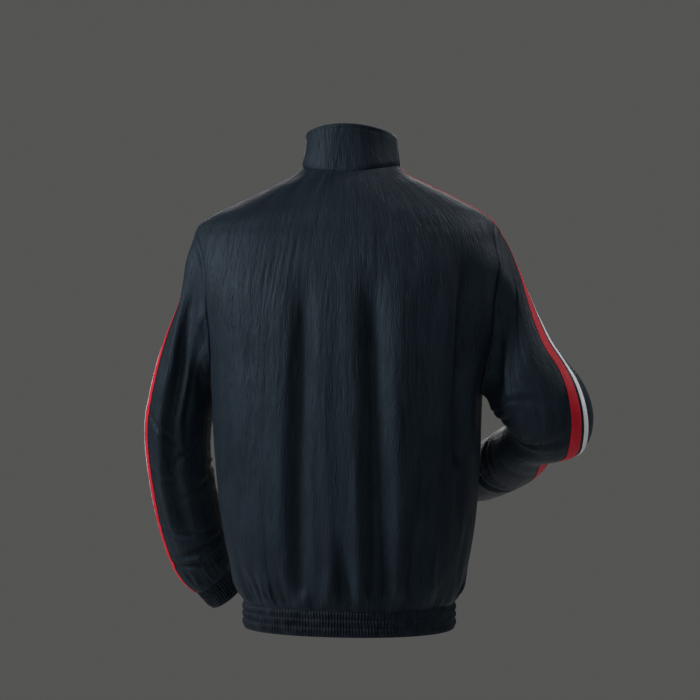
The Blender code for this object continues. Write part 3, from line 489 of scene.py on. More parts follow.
def eased(points, vectors, reach=0.032):
    """Evens out directions along a closed line of points."""
    steps, run = spans(points, closed=True), run_along(points, closed=True)
    gaps = np.abs(run[:-1, None] - run[None, :-1])
    gaps = np.minimum(gaps, run[-1] - gaps)
    weights = bell(gaps / reach) * (steps + np.roll(steps, 1))[None, :]
    return unit(weights @ vectors)


def sleeve_grid(side):
    """Outside points of a sleeve: yoke rows from the armhole, then rings down the arm."""
    points, _, leave = seam_start(side)
    rings, places = [], []
    parts = list(zip(*sleeve_path(side, np.linspace(0, 1, ARM_ROWS + 1))))
    for centre, a, b, outward, way, turn in parts:
        def section(where, ring=(centre, a, b, outward, way), turned=turn):
            return ring_points(*ring, where, side, turned)

        places.append(ring_places(section))
        rings.append(section(places[-1]))
    first, way = rings[0], parts[0][4]
    reach = np.linalg.norm(first - points, axis=-1, keepdims=True)
    share = np.linspace(0, 1, YOKE_ROWS + 1)[:-1, None, None]
    yoke = hermite(share, points, first, reach * leave, reach * way)
    grid = dented(side, np.concatenate([yoke, rings]), places[0])
    if side == "right":
        grid = relaxed(grid, places[YOKE_ROWS])
    return spaced(grid), parts[-1][4]


def spaced(grid):
    """Puts the tape lines of the yoke rows at their true distances from the outer line."""
    grid = grid.copy()
    for row in grid[1:YOKE_ROWS]:
        line = row[[8, 11, 14, 15, 16, 17]]
        row[9:15] = read_at(TAPE_LINES, run_along(line), line)
    return grid


def relaxed(grid, places):
    """Evens out the inside of the bent elbow, where the rings crowd together."""
    inside = ((1 + np.cos(2 * np.pi * (places + ELBOW_INSIDE))) / 2) ** ELBOW_POWER
    bend = bell((np.arange(len(grid)) - ELBOW_ROW) / ELBOW_RUN)
    weight = (bend[:, None] * inside)[1:-1, :, None]
    grid = grid.copy()
    for _ in range(30):
        between = (grid[:-2] + grid[2:]) / 2
        grid[1:-1] += 0.5 * weight * (between - grid[1:-1])
    return grid


def dented(side, grid, places):
    """Sinks the hollows of a sleeve."""
    down = (np.arange(len(grid)) / YOKE_ROWS)[:, None]
    normals = ring_normals(grid)
    for place, spread, along, run, depth in SLEEVE_DENTS[side]:
        round_way = bell((places - place) / spread)[None, :]
        lengthways = bell((down - along) / run) * ramp(down, 0.0, 0.3)
        grid = grid - normals * (depth * round_way * lengthways)[..., None]
    return grid


def ring_normals(grid):
    """Outward directions of a closed tube's points."""
    round_way = np.roll(grid, -1, axis=1) - np.roll(grid, 1, axis=1)
    down_way = np.gradient(grid, axis=0)
    normals = unit(np.cross(round_way, down_way))
    centre = grid.mean(axis=1, keepdims=True)
    if float((normals * (grid - centre)).sum()) < 0:
        normals = -normals
    return normals


def front_line(z):
    """Y of the cloth's outside at the centre front, band and collar included."""
    z = np.asarray(z, float)
    base_z = float(neckline(-np.pi / 2))
    body = torso_point(-np.pi / 2, np.clip(z, HEM_Z, base_z))[..., 1]
    centre = float(TORSO_CURVES[3](base_z))
    climb = np.clip((z - base_z) / (COLLAR_TOP_FRONT - base_z), 0, 1)
    shrink = 1 + (COLLAR_TAPER - 1) * climb - 0.012 * np.sin(np.pi * climb)
    return np.where(z > base_z, centre + (body - centre) * shrink, body)


# ---------------------------------------------------------------- finer surfaces


def fine_places(points, size, closed=False):
    """Places along the first axis about size apart, the cut's own lines among them."""
    counts = np.maximum(1, np.ceil(spans(points, closed).mean(axis=1) / size)).astype(int)
    found = [k + np.arange(n) / n for k, n in enumerate(counts)]
    return np.concatenate(found + ([] if closed else [[float(len(points) - 1)]]))


def refine(values, places, lengths, closed=False):
    """Values at places between the cut's lines, smooth along the first axis."""
    lengths = np.maximum(lengths, 1e-6)[..., None]
    if closed:
        rise = (np.roll(values, -1, axis=0) - values) / lengths
        behind, before = np.roll(rise, 1, axis=0), np.roll(lengths, 1, axis=0)
        slope = (rise * before + behind * lengths) / (lengths + before)
    else:
        rise = np.diff(values, axis=0) / lengths
        inner = rise[1:] * lengths[:-1] + rise[:-1] * lengths[1:]
        slope = np.concatenate([rise[:1], inner / (lengths[1:] + lengths[:-1]), rise[-1:]])
    k = np.minimum(places.astype(int), len(lengths) - 1)
    t, following, h = (places - k)[:, None, None], (k + 1) % len(values), lengths[k]
    return hermite(t, values[k], values[following], h * slope[k], h * slope[following])


def refined(values, points, rows, columns, closed=False):
    """Values of a cut's grid at finer rows and columns; points give the spacing."""
    lengths = spans(points)
    values, points = refine(values, rows, lengths), refine(points, rows, lengths)
    values, points = values.swapaxes(0, 1), points.swapaxes(0, 1)
    return refine(values, columns, spans(points, closed), closed).swapaxes(0, 1)


def ripple(u, v, seed, around=256):
    """Smooth random height from -1 to 1; u and v count cells, and u repeats after around."""
    table = np.random.default_rng(seed).uniform(-1, 1, (256, 256))
    i, j = np.floor(u).astype(int), np.floor(v).astype(int)
    s, t = u - i, v - j
    s, t = s * s * (3 - 2 * s), t * t * (3 - 2 * t)
    a, b, c, d = i % around, (i + 1) % around, j % 256, (j + 1) % 256
    low = table[a, c] * (1 - s) + table[b, c] * s
    high = table[a, d] * (1 - s) + table[b, d] * s
    return low * (1 - t) + high * t


def crests(u, v, width, length, seed, girth=None):
    """Sharp-ridged creases running along v, about -1 to 0.6 high."""
    around = 256 if girth is None else max(4, round(girth / width))
    x = u / width if girth is None else u / girth * around
    y = v / length
    sway = ripple(u / (5 * width), v / (0.6 * length), seed + 50) if girth is None else 0.0
    stray = 0.45 * ripple(x * 0.5, y * 1.7, seed + 70, max(2, around // 2))
    height = ripple(x + 0.5 * sway, y + stray, seed, around)
    return 0.6 - 1.6 * np.abs(height)


def edge_distance(points, closed=False, corner=None):
    """Distance of each point from its panel's nearest edge, along rows and columns."""
    down = np.concatenate([np.zeros_like(points[:1, :, 0]), np.cumsum(spans(points), axis=0)])
    away = np.minimum(down, down[-1] - down)
    if closed:
        return away
    sideways = spans(points.swapaxes(0, 1)).swapaxes(0, 1)
    across = np.concatenate([np.zeros_like(points[:, :1, 0]), np.cumsum(sideways, axis=1)], axis=1)
    left = across.copy()
    if corner is not None:
        row, column = corner
        left[:row] -= across[:row, column : column + 1]
        strip = down - down[row]
        away[row:, : column + 1] = np.minimum(away, strip)[row:, : column + 1]
        away[:row, :column] = 0.0
    return np.clip(np.minimum(away, np.minimum(left, across[:, -1:] - across)), 0.0, None)


# ---------------------------------------------------------------- folds and creases

# Smaller folds of the body: angle, top, bottom, half width, depth; below 0 it stands out.
SMALL_FOLDS = (
    (72.0, -0.170, -0.622, 0.011, 0.0030),
    (119.0, -0.160, -0.622, 0.011, 0.0028),
    (99.5, -0.460, -0.624, 0.009, 0.0022),
    (137.5, -0.440, -0.624, 0.010, 0.0028),
    (161.0, -0.330, -0.560, 0.013, 0.0070),
    (64.0, -0.150, -0.620, 0.009, -0.0022),
    (84.0, -0.300, -0.622, 0.010, 0.0022),
    (91.0, -0.420, -0.615, 0.008, -0.0018),
    (107.0, -0.350, -0.622, 0.009, -0.0026),
    (114.5, -0.535, -0.626, 0.007, 0.0050),
    (128.0, -0.250, -0.620, 0.009, -0.0024),
    (147.0, -0.440, -0.622, 0.009, -0.0024),
    (152.0, -0.200, -0.600, 0.010, 0.0024),
    (43.0, -0.545, -0.626, 0.008, 0.0045),
    (50.0, -0.380, -0.620, 0.010, -0.0018),
    (33.0, -0.300, -0.622, 0.010, 0.0026),
    (16.0, -0.380, -0.622, 0.012, 0.0040),
    (168.0, -0.450, -0.624, 0.011, 0.0040),
    (200.0, -0.400, -0.624, 0.012, 0.0034),
    (225.0, -0.420, -0.622, 0.009, -0.0020),
    (250.0, -0.360, -0.622, 0.010, 0.0026),
    (280.0, -0.360, -0.622, 0.010, 0.0026),
    (305.0, -0.420, -0.622, 0.009, -0.0020),
    (340.0, -0.420, -0.624, 0.012, 0.0036),
)
GIRTH_RADIUS = 0.19


def body_folds(phi, z, radius):
    """How far the smaller folds sink into the body cloth."""
    sink = np.zeros_like(phi)
    for angle, top, bottom, width, depth in SMALL_FOLDS:
        lean = 0.15 * ripple(z / 0.11, np.full_like(z, angle), 9)
        away = apart(phi + lean * 0.12, angle) * radius / width
        reach = ramp(z, top, top - 0.12) * ramp(z, bottom, bottom + (0.03 if bottom < -0.59 else 0.12))
        sink += depth * bell(away) * reach
    return sink


def body_crinkle(phi, z, seed, depth, gathers):
    """Height of the body cloth's streaks, and of the puckers above the hem band."""
    u = phi * GIRTH_RADIUS
    radius = np.full_like(phi, GIRTH_RADIUS)
    patch = 0.62 + 0.38 * ripple(u / 0.07, z / 0.11, seed + 5)
    streaks = 0.8 * crests(u, z, 0.0100, 0.090, seed) + 0.75 * crests(u, z, 0.0060, 0.055, seed + 1)
    cross = crests(z * 0.8 + u * 0.35, u, 0.013, 0.050, seed + 2)
    calm = 1 - 0.45 * ramp(z, -0.16, -0.06)
    height = depth * calm * patch * (streaks + 0.22 * cross)
    close = ramp(z, -0.565, -0.617)
    pucker = 1.1 * crests(u, z, 0.0095, 0.13, seed + 3) + 0.5 * crests(u, z, 0.0056, 0.07, seed + 4)
    tight = 0.55 + 0.45 * ripple(u / 0.03, z / 0.05, seed + 6)
    height += gathers * close * tight * pucker
    return height - body_folds(phi, z, radius)


# Creases of a sleeve: place round it, metres down, half width, half length, tilt, depth.
SLEEVE_CREASES = {
    "left": (
        (0.30, 0.205, 0.0040, 0.040, -0.55, 0.0026),
        (0.20, 0.235, 0.0045, 0.035, 0.35, 0.0024),
        (0.33, 0.262, 0.0040, 0.030, -0.30, 0.0020),
        (0.16, 0.290, 0.0045, 0.036, 0.20, 0.0024),
        (0.28, 0.355, 0.0050, 0.045, -0.15, 0.0034),
        (0.20, 0.388, 0.0055, 0.050, 0.12, 0.0044),
        (0.30, 0.412, 0.0050, 0.045, -0.10, 0.0040),
        (0.80, 0.240, 0.0050, 0.050, 0.20, 0.0030),
        (0.90, 0.275, 0.0050, 0.045, -0.20, 0.0030),
        (0.75, 0.380, 0.0055, 0.050, 0.10, 0.0036),
        (0.62, 0.405, 0.0050, 0.045, -0.10, 0.0034),
    ),
    "right": (
        (0.05, 0.120, 0.0080, 0.060, 0.30, 0.0030),
        (0.10, 0.158, 0.0085, 0.060, -0.20, 0.0034),
        (0.92, 0.185, 0.0070, 0.050, -0.20, 0.0030),
        (0.22, 0.130, 0.0045, 0.050, 0.45, 0.0028),
        (0.30, 0.210, 0.0050, 0.050, -0.20, 0.0028),
        (0.15, 0.330, 0.0050, 0.045, 0.15, 0.0030),
        (0.30, 0.365, 0.0050, 0.045, -0.12, 0.0034),
        (0.80, 0.350, 0.0050, 0.045, 0.12, 0.0032),
    ),
}
# Long folds down a sleeve: place round it, start, end, half width, depth; below 0 it stands out.
LONG_CREASES = {
    "left": (
        (0.255, -0.015, 0.390, 0.0150, 0.0070),
        (0.320, -0.010, 0.400, 0.0080, -0.0030),
        (0.165, -0.030, 0.230, 0.0085, 0.0066),
        (0.205, -0.020, 0.220, 0.0060, -0.0028),
        (0.780, 0.020, 0.330, 0.0140, 0.0050),
    ),
    "right": (
        (0.130, -0.030, 0.120, 0.0090, 0.0056),
        (0.215, -0.020, 0.150, 0.0070, -0.0028),
        (0.270, 0.020, 0.150, 0.0080, 0.0030),
        (0.800, 0.020, 0.140, 0.0120, 0.0045),
    ),
}
SLEEVE_GIRTH = 0.40


def sleeve_crinkle(side, place, along, length, depth, gathers):
    """Height of a sleeve's streaks and creases, and of the puckers above its cuff."""
    seed = SEEDS["sleeve_" + side]
    u = place * SLEEVE_GIRTH
    patch = 0.65 + 0.35 * ripple(place * 6, along / 0.09, seed + 5, 6)
    streaks = crests(u, along, 0.0105, 0.070, seed, SLEEVE_GIRTH)
    streaks += 0.55 * crests(u, along, 0.0062, 0.040, seed + 1, SLEEVE_GIRTH)
    height = depth * patch * streaks
    crush = bell((along - 0.62 * length) / 0.07) + ramp(along, length - 0.11, length - 0.03)
    rings = crests(along + 0.006 * np.sin(4 * np.pi * place), u, 0.014, 0.080, seed + 2)
    height += 0.9 * depth * crush * rings
    for where, down, width, reach, tilt, sink in SLEEVE_CREASES[side]:
        round_way = ((place - where + 0.5) % 1.0 - 0.5) * SLEEVE_GIRTH
        drop = (along - down - tilt * round_way) / width
        shape = bell(drop) - 0.45 * bell(np.abs(drop) - 1.9)
        height -= sink * shape * bell(round_way / reach)
    for where, start, end, width, sink in LONG_CREASES[side]:
        drift = 0.010 * ripple(np.full_like(along, where * 40), along / 0.07, seed + 8)
        round_way = ((place - where + drift + 0.5) % 1.0 - 0.5) * SLEEVE_GIRTH
        reach = ramp(along, start, start + 0.030) * ramp(along, end, end - 0.080)
        height -= sink * reach * bell(round_way / width)
    close = ramp(along, length - 0.050, length - 0.006)
    pucker = crests(u, along, 0.0080, 0.100, seed + 3, SLEEVE_GIRTH)
    return height + gathers * close * pucker * (1 - 0.5 * ramp(along, length - 0.006, length))


# ---------------------------------------------------------------- meshes

CLOTH_MAP, BODY, SEWN = "cloth_metres", "garment", {}
TAPE_LIFT, TAPE_THICK, TAPE_END = 0.0003, 0.0008, 0.0010
# How far the creases may sink and stand out.
BODY_LIMITS, SLEEVE_LIMITS, COLLAR_LIMITS = (-0.0085, 0.0060), (-0.0082, 0.0050), (-0.0022, 0.0018)
# How deep and how far the cloth turns in at a seam, under the hem band and under the fronts.
SEAM_SINK, SEAM_REACH = 0.0016, 0.0024
HEM_SINK, HEM_REACH = 0.0004, 0.0022
SIDE_SINK, SIDE_REACH = 0.0014, 0.0034
SEEDS = {
    "back": 11, "front_left": 23, "front_right": 37, "sleeve_left": 41, "sleeve_right": 59,
    "collar": 71, "cuff_left": 91, "cuff_right": 97,
}  # fmt: skip


def grid_quads(rows, columns, present=None, closed=False):
    """Corner numbers of a grid's quads, and their corners' columns counted without wrapping."""
    i, j = np.meshgrid(np.arange(rows - 1), np.arange(columns if closed else columns - 1), indexing="ij")
    if present is not None:
        i, j = i[present], j[present]
    i, j = i.ravel(), j.ravel()
    k = (j + 1) % columns
    quads = np.stack([i * columns + j, i * columns + k, (i + 1) * columns + k, (i + 1) * columns + j], 1)
    return quads, np.stack([j, j + 1, j + 1, j], 1), np.stack([i, i, i + 1, i + 1], 1)


def new_object(name, points, faces, uv, finish, sharp=60.0):
    """A smooth-shaded object; uv holds metres of cloth for each corner."""
    mesh = bpy.data.meshes.new(name)
    mesh.from_pydata(points.tolist(), [], faces.tolist())
    if uv is not None:
        layer = mesh.uv_layers.new(name=CLOTH_MAP)
        layer.uv.foreach_set("vector", np.asarray(uv, np.float32).ravel())
    mesh.polygons.foreach_set("use_smooth", np.ones(len(faces), bool))
    mesh.set_sharp_from_angle(angle=math.radians(sharp))
    mesh.validate()
    mesh.update()
    made = bpy.data.objects.new(name, mesh)
    bpy.context.scene.collection.objects.link(made)
    mesh.materials.append(finish)
    return made


def enclosed(points, faces):
    """Six times the volume inside a closed surface of quads."""
    a, b, c, d = (points[faces[:, k]] for k in range(4))
    return float((np.cross(a, b) * c).sum() + (np.cross(a, c) * d).sum())


def shell(name, outer, inner, uv, finish, present=None, closed=False):
    """A closed wall between two matching grids of points, rims included."""
    rows, columns = outer.shape[:2]
    quads, across, down = grid_quads(rows, columns, present, closed)
    corner_uv = uv[down, across]
    used = np.unique(quads)
    place = np.full(rows * columns, -1)
    place[used] = np.arange(len(used))
    quads, count = place[quads], len(used)
    starts, ends = quads.ravel(), np.roll(quads, -1, axis=1).ravel()
    rim = ~np.isin(starts * count + ends, ends * count + starts)
    a, b = starts[rim], ends[rim]
    sides = np.stack([b, a, a + count, b + count], 1)
    at_a, at_b = corner_uv.reshape(-1, 2)[rim], np.roll(corner_uv, -1, axis=1).reshape(-1, 2)[rim]
    faces = np.concatenate([quads, quads[:, ::-1] + count, sides])
    uvs = np.concatenate([corner_uv, corner_uv[:, ::-1], np.stack([at_b, at_a, at_a, at_b], 1)])
    points = np.concatenate([outer.reshape(-1, 3)[used], inner.reshape(-1, 3)[used]])
    if enclosed(points, faces) < 0:
        faces, uvs = faces[:, ::-1], uvs[:, ::-1]
    return new_object(name, points, faces, uvs, finish)


def surface_normals(points, like, closed=False):
    """Directions square to a grid of points, on the same side as those given."""
    down = np.gradient(points, axis=0)
    if closed:
        across = np.roll(points, -1, axis=1) - np.roll(points, 1, axis=1)
    else:
        across = np.gradient(points, axis=1)
    normals = unit(np.cross(across, down))
    return normals * np.where((normals * like).sum(-1, keepdims=True) < 0, -1.0, 1.0)


def rounded(outer, inner, distance, radius):
    """Draws the two faces of a wall together near its edge, as a fold of cloth."""
    close = np.clip(1 - distance / radius, 0, 1)
    pull = ((1 - np.sqrt(1 - close**2)) * 0.5)[..., None]
    between = inner - outer
    return outer + between * pull, inner - between * pull


def tucked(points, normals, uv, sink=SEAM_SINK, reach=SEAM_REACH, way=None):
    """Adds a first row that turns in under the neighbouring piece, as a seam does."""
    ahead = unit(points[0] - points[1]) if way is None else np.array(way)
    edge = points[0] + reach * ahead - sink * normals[0]
    return (
        np.concatenate([edge[None], points]),
        np.concatenate([normals[:1], normals]),
        np.concatenate([2 * uv[:1] - uv[1:2], uv]),
    )


def metres(points, closed=False):
    """Cloth coordinates of a grid: metres across and down, even over the whole piece."""
    down, across = run_along(points), run_along(points.swapaxes(0, 1), closed)
    return np.stack(np.broadcast_arrays(across[None, :], down[:, None]), -1)


def stand_in(made, node, body=BODY):
    """Lets an object ride on a body in place of a solid, which it hides."""
    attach(made, body)
    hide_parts(node)


def cloth(made, node):
    """Lets a sewn piece stand in for its solid, and records it under the solid's name."""
    stand_in(made, node)
    SEWN[node] = made.name


# ---------------------------------------------------------------- the sewn pieces


def panel_grid(angle, z, settings, present=None, corner=None):
    """Fine angles, heights, cut lines and edge distances of a body panel."""
    coarse = torso_point(angle, z)
    rows = fine_places(coarse, 1.5 * settings.mesh_size)
    columns = fine_places(coarse.swapaxes(0, 1), 0.7 * settings.mesh_size)
    both = refined(np.stack([angle, z], -1), coarse, rows, columns)
    fine_angle, fine_z = both[..., 0], both[..., 1]
    base = torso_point(fine_angle, fine_z)
    fine_corner = None
    if corner is not None:
        fine_corner = (int(np.searchsorted(rows, corner[0])), int(np.searchsorted(columns, corner[1])))
    distance = edge_distance(base, corner=fine_corner)
    if present is not None:
        at_row, at_column = rows[:-1].astype(int), columns[:-1].astype(int)
        present = present[at_row][:, at_column]
    return fine_angle, fine_z, base, rows, columns, distance, present


def sew_panel(name, node, grid, settings):
    """One panel of the body with its streaks, folds and turned-in seams."""
    angle, z, base, _, _, distance, present = grid
    normals = torso_normal(angle, z)
    height = body_crinkle(angle, z, SEEDS[node], settings.crinkle_depth, settings.gather_depth)
    fade = ramp(distance, 0.0, 0.010)
    low = ramp(z, HEM_Z + 0.030, HEM_Z + 0.004)
    run = np.cumsum(spans(base.swapaxes(0, 1)), axis=0).T
    run = np.concatenate([np.zeros_like(run[:, :1]), run], axis=1)
    sideways = ramp(np.minimum(run, run[:, -1:] - run), 0.0, 0.012)
    held = 0.38 + 0.62 * ramp(z, HEM_Z + 0.001, HEM_Z + 0.009)
    height = height * np.maximum(fade, 0.95 * low * sideways) * held
    dip = settings.seam_dip * (1 - ramp(distance, 0.0, 0.0045))
    height = np.clip(height, *BODY_LIMITS) - dip
    # Close to the hem band the cloth can't leave the band's own thickness.
    above = 0.9 * np.maximum(z - HEM_Z, 0.0)
    height = np.clip(height, -0.0012 - above, 0.0008 + above)
    outer = base + normals * height[..., None]
    facing = surface_normals(outer, normals)
    parts = outer, normals, np.stack([angle * GIRTH_RADIUS, z], -1)
    parts = tucked(*parts, HEM_SINK, HEM_REACH, (0, 0, -1))
    if present is not None:
        present = np.concatenate([present[:1], present])
    else:
        parts = [part.swapaxes(0, 1) for part in parts]
        for _ in range(2):
            parts = [part[::-1] for part in tucked(*parts, SIDE_SINK, SIDE_REACH)]
        parts = [part.swapaxes(0, 1) for part in parts]
    wall, out, uv = parts
    made = shell(name, wall, wall - settings.cloth_thickness * out, uv, look("nylon"), present)
    cloth(made, node)
    return outer, facing


def front_parts(side):
    """Angles, heights and cells of a front, with the missing corner filled in for smoothing."""
    angle, z, present, first = front_grid(side)
    angle, z = angle.copy(), z.copy()
    for row in range(first):
        angle[row, :6] = angle[row, 6] + (angle[first, :6] - angle[first, 6])
        z[row, :6] = z[row, 6] + (z[first, :6] - z[first, 6])
    return angle, z, present, first


def fine_sleeve(side, settings):
    """Finer points of a sleeve with its creases, and what the tapes are laid on."""
    grid, end_way = sleeve_grid(side)
    rows = fine_places(grid, settings.mesh_size)
    columns = fine_places(grid.swapaxes(0, 1), settings.mesh_size, closed=True)
    base = refined(grid, grid, rows, columns, closed=True)
    normals = ring_normals(base)
    normals[-1] = unit(normals[-1] - (normals[-1] * end_way).sum(-1, keepdims=True) * end_way)
    around = run_along(base.swapaxes(0, 1), closed=True)
    place, along = np.broadcast_arrays(around[None, :-1] / around[-1], run_along(base)[:, None])
    distance = edge_distance(base, closed=True)
    length = along[-1, 0]
    height = sleeve_crinkle(side, place, along, length, settings.crinkle_depth, settings.gather_depth)
    # Inside a bend the cloth is drawn together, so its creases are shallower there.
    drawn = spans(base) / spans(base).mean(axis=1, keepdims=True)
    height = height * np.clip(np.concatenate([drawn[:1], drawn]), 0.1, 1.0)
    low = ramp(along, length - 0.012, length - 0.002)
    height = height * np.maximum(ramp(distance, 0.0, 0.012), 0.6 * low)
    calm = 0.45 * ramp(columns, 8.0, 9.0) * (1 - ramp(columns, 14.0, 15.0))
    height = height * (1 - calm)[None, :]
    dip = settings.seam_dip * (1 - ramp(distance, 0.0, 0.0045))
    height = np.clip(height, *SLEEVE_LIMITS) - dip
    height = height + 0.0010 * bell((along - 0.0042) / 0.0024)
    outer = base + normals * height[..., None]
    uv_place = np.concatenate([place, np.ones_like(place[:, :1])], axis=1) * SLEEVE_GIRTH
    uv_along = np.concatenate([along, along[:, :1]], axis=1)
    uv = np.stack([uv_place, uv_along], -1)
    facing = surface_normals(outer, normals, closed=True)
    return outer, normals, facing, uv, columns


# Runs of tape: part, the piece under it, the cut's first line there and how far its end stays short.
TAPE_RUNS = (("shoulder", "front", 1, TAPE_END), ("sleeve", "sleeve", 9, 0.0003))
TAPE_COLUMNS = {"red": (0, 2), "white": (3, 5)}


def lay_tape(node, strip, places, lines, trim):
    """A knitted tape over the cloth between two lines of the cut; returns its face."""
    points, normals = strip
    first, last = lines
    chosen = np.flatnonzero((places >= first - 1e-9) & (places <= last + 1e-9))
    points, normals = points[:, chosen].copy(), normals[:, chosen]
    ahead = points[-1] - points[-2]
    points[-1] -= ahead * (trim / np.linalg.norm(ahead, axis=-1, keepdims=True))
    across = run_along(points.swapaxes(0, 1))
    width, length = float(across[-1]), float(spans(points).sum(axis=0).mean())
    low, high = points + TAPE_LIFT * normals, points + (TAPE_LIFT + TAPE_THICK) * normals
    edge = np.broadcast_to(np.minimum(across, width - across), points.shape[:2])
    high, low = rounded(high, low, edge, 0.0011)
    colour = "red" if "_red_" in node else "white"
    made = shell(node + "_knit", high, low, metres(points), look(colour))
    stand_in(made, node)
    return high, normals


# ---------------------------------------------------------------- shading


def shader_group(name, place, sizes, outputs):
    """An empty node group with named sockets, and its two ends."""
    group = bpy.data.node_groups.new(name, "ShaderNodeTree")
    group.interface.new_socket(name=place, in_out="INPUT", socket_type="NodeSocketVector")
    for label, default in sizes.items():
        made = group.interface.new_socket(name=label, in_out="INPUT", socket_type="NodeSocketFloat")
        made.default_value = default
    for label in outputs:
        group.interface.new_socket(name=label, in_out="OUTPUT", socket_type="NodeSocketFloat")
    return group, group.nodes.new("NodeGroupInput").outputs, group.nodes.new("NodeGroupOutput").inputs


def feed(tree, target, value):
    """Links a socket to an input, or sets the input's own value."""
    if isinstance(value, bpy.types.NodeSocket):
        tree.links.new(value, target)
    else:
        target.default_value = value


def node(tree, kind, inputs=None, **settings):
    """A node with its properties and its inputs."""
    made = tree.nodes.new("ShaderNode" + kind)
    for key, value in settings.items():
        setattr(made, key, value)
    for key, value in (inputs or {}).items():
        feed(tree, made.inputs[key], value)
    return made


def maths(tree, operation, *values):
    return node(tree, "Math", dict(enumerate(values)), operation=operation).outputs[0]


def times(tree, first, second):
    return maths(tree, "MULTIPLY", first, second)


def add(tree, first, second):
    return maths(tree, "ADD", first, second)


def less(tree, first, second):
    return maths(tree, "SUBTRACT", first, second)


def stretched(tree, vector, across, along, seed):
    """Cloth coordinates counted in cells of a size across and along."""
    split = node(tree, "SeparateXYZ", {0: vector}).outputs
    cells = {0: maths(tree, "DIVIDE", split[0], across), 1: maths(tree, "DIVIDE", split[1], along), 2: seed}
    return node(tree, "CombineXYZ", cells).outputs[0]


def noise(tree, vector, detail, roughness, distortion=0.0):
    inputs = {"Vector": vector, "Scale": 1.0, "Detail": detail, "Roughness": roughness}
    return node(tree, "TexNoise", inputs | {"Distortion": distortion}).outputs["Fac"]


def crinkle_group():
    """Fine sharp creases that run along the cloth."""
    sizes = {"Across": 0.004, "Along": 0.03, "Seed": 0.0}
    group, given, out = shader_group("Cloth creases", "Cloth", sizes, ("Height", "Patches"))
    place, across, along, seed = (given[key] for key in ("Cloth", *sizes))
    fine = noise(group, stretched(group, place, across, along, seed), 3.0, 0.55, 0.5)
    ridge = maths(group, "POWER", maths(group, "ABSOLUTE", less(group, times(group, fine, 2.0), 1.0)), 1.35)
    feed(group, out["Height"], less(group, 1.0, times(group, ridge, 2.8)))
    wide = stretched(group, place, times(group, across, 7.0), times(group, along, 2.5), seed)
    feed(group, out["Patches"], noise(group, wide, 2.0, 0.5))
    return group


def weave_group():
    """Over and under threads of a plain weave."""
    sizes = {"Thread": 0.0005, "Slub": 0.3}
    group, given, out = shader_group("Plain weave", "Cloth", sizes, ("Height", "Slubs"))
    split = node(group, "SeparateXYZ", {0: given["Cloth"]}).outputs
    step = maths(group, "DIVIDE", math.pi, given["Thread"])
    across, along = (maths(group, "SINE", times(group, split[k], step)) for k in (0, 1))
    feed(group, out["Height"], times(group, across, along))
    slub = stretched(group, given["Cloth"], times(group, given["Thread"], 3.0), 0.02, 3.0)
    slub = less(group, noise(group, slub, 2.0, 0.6), 0.5)
    feed(group, out["Slubs"], times(group, slub, given["Slub"]))
    return group


def knit_group():
    """Ribs along a tape or a band, with their stitches."""
    sizes = {"Rib": 0.0014, "Stitch": 0.0012}
    group, given, out = shader_group("Knit ribs", "Cloth", sizes, ("Height", "Shade"))
    split = node(group, "SeparateXYZ", {0: given["Cloth"]}).outputs
    turn, round_way = (maths(group, "DIVIDE", 2 * math.pi, given[key]) for key in sizes)
    rib = maths(group, "ABSOLUTE", maths(group, "SINE", times(group, split[0], turn)))
    place = add(group, split[1], times(group, rib, given["Stitch"]))
    loop = maths(group, "SINE", times(group, place, round_way))
    feed(group, out["Height"], add(group, rib, times(group, loop, 0.35)))
    worn = stretched(group, given["Cloth"], 0.006, 0.015, 5.0)
    feed(group, out["Shade"], noise(group, worn, 3.0, 0.6))
    return group


def rub_group():
    """Uneven shine from handling."""
    sizes = {"Size": 0.01, "Amount": 0.1}
    group, given, out = shader_group("Handling", "Place", sizes, ("Change", "Specks"))
    place, wide, amount = (given[key] for key in ("Place", *sizes))
    spots = noise(group, stretched(group, place, wide, wide, 1.0), 4.0, 0.6)
    feed(group, out["Change"], times(group, less(group, spots, 0.5), amount))
    tiny = times(group, wide, 0.12)
    dots = noise(group, stretched(group, place, tiny, tiny, 2.0), 1.0, 0.5)
    feed(group, out["Specks"], times(group, maths(group, "GREATER_THAN", dots, 0.74), amount))
    return group


GROUPS = {}


def grouped(tree, name, **values):
    """A shared group placed in a material with its own values."""
    if not GROUPS:
        GROUPS.update(crinkle=crinkle_group(), weave=weave_group(), knit=knit_group(), rub=rub_group())
    made = tree.nodes.new("ShaderNodeGroup")
    made.node_tree = GROUPS[name]
    for key, value in values.items():
        feed(tree, made.inputs[key], value)
    return made.outputs


def blended(tree, amount, first, second):
    """A colour between two, by a mask."""
    inputs = {"Factor": amount, 6: (*first, 1.0), 7: (*second, 1.0)}
    return node(tree, "Mix", inputs, data_type="RGBA").outputs[2]


def between(tree, value, low, high, start=0.0, end=1.0):
    inputs = {"Value": value, "From Min": start, "From Max": end, "To Min": low, "To Max": high}
    return node(tree, "MapRange", inputs).outputs[0]


def new_material(name, on_cloth=True):
    """A material with its tree, and the coordinates of its cloth or its object."""
    made = bpy.data.materials.new(name)
    made.use_nodes = True
    tree = made.node_tree
    if on_cloth:
        return made, tree, node(tree, "UVMap", uv_map=CLOTH_MAP).outputs[0]
    return made, tree, node(tree, "TexCoord").outputs["Object"]


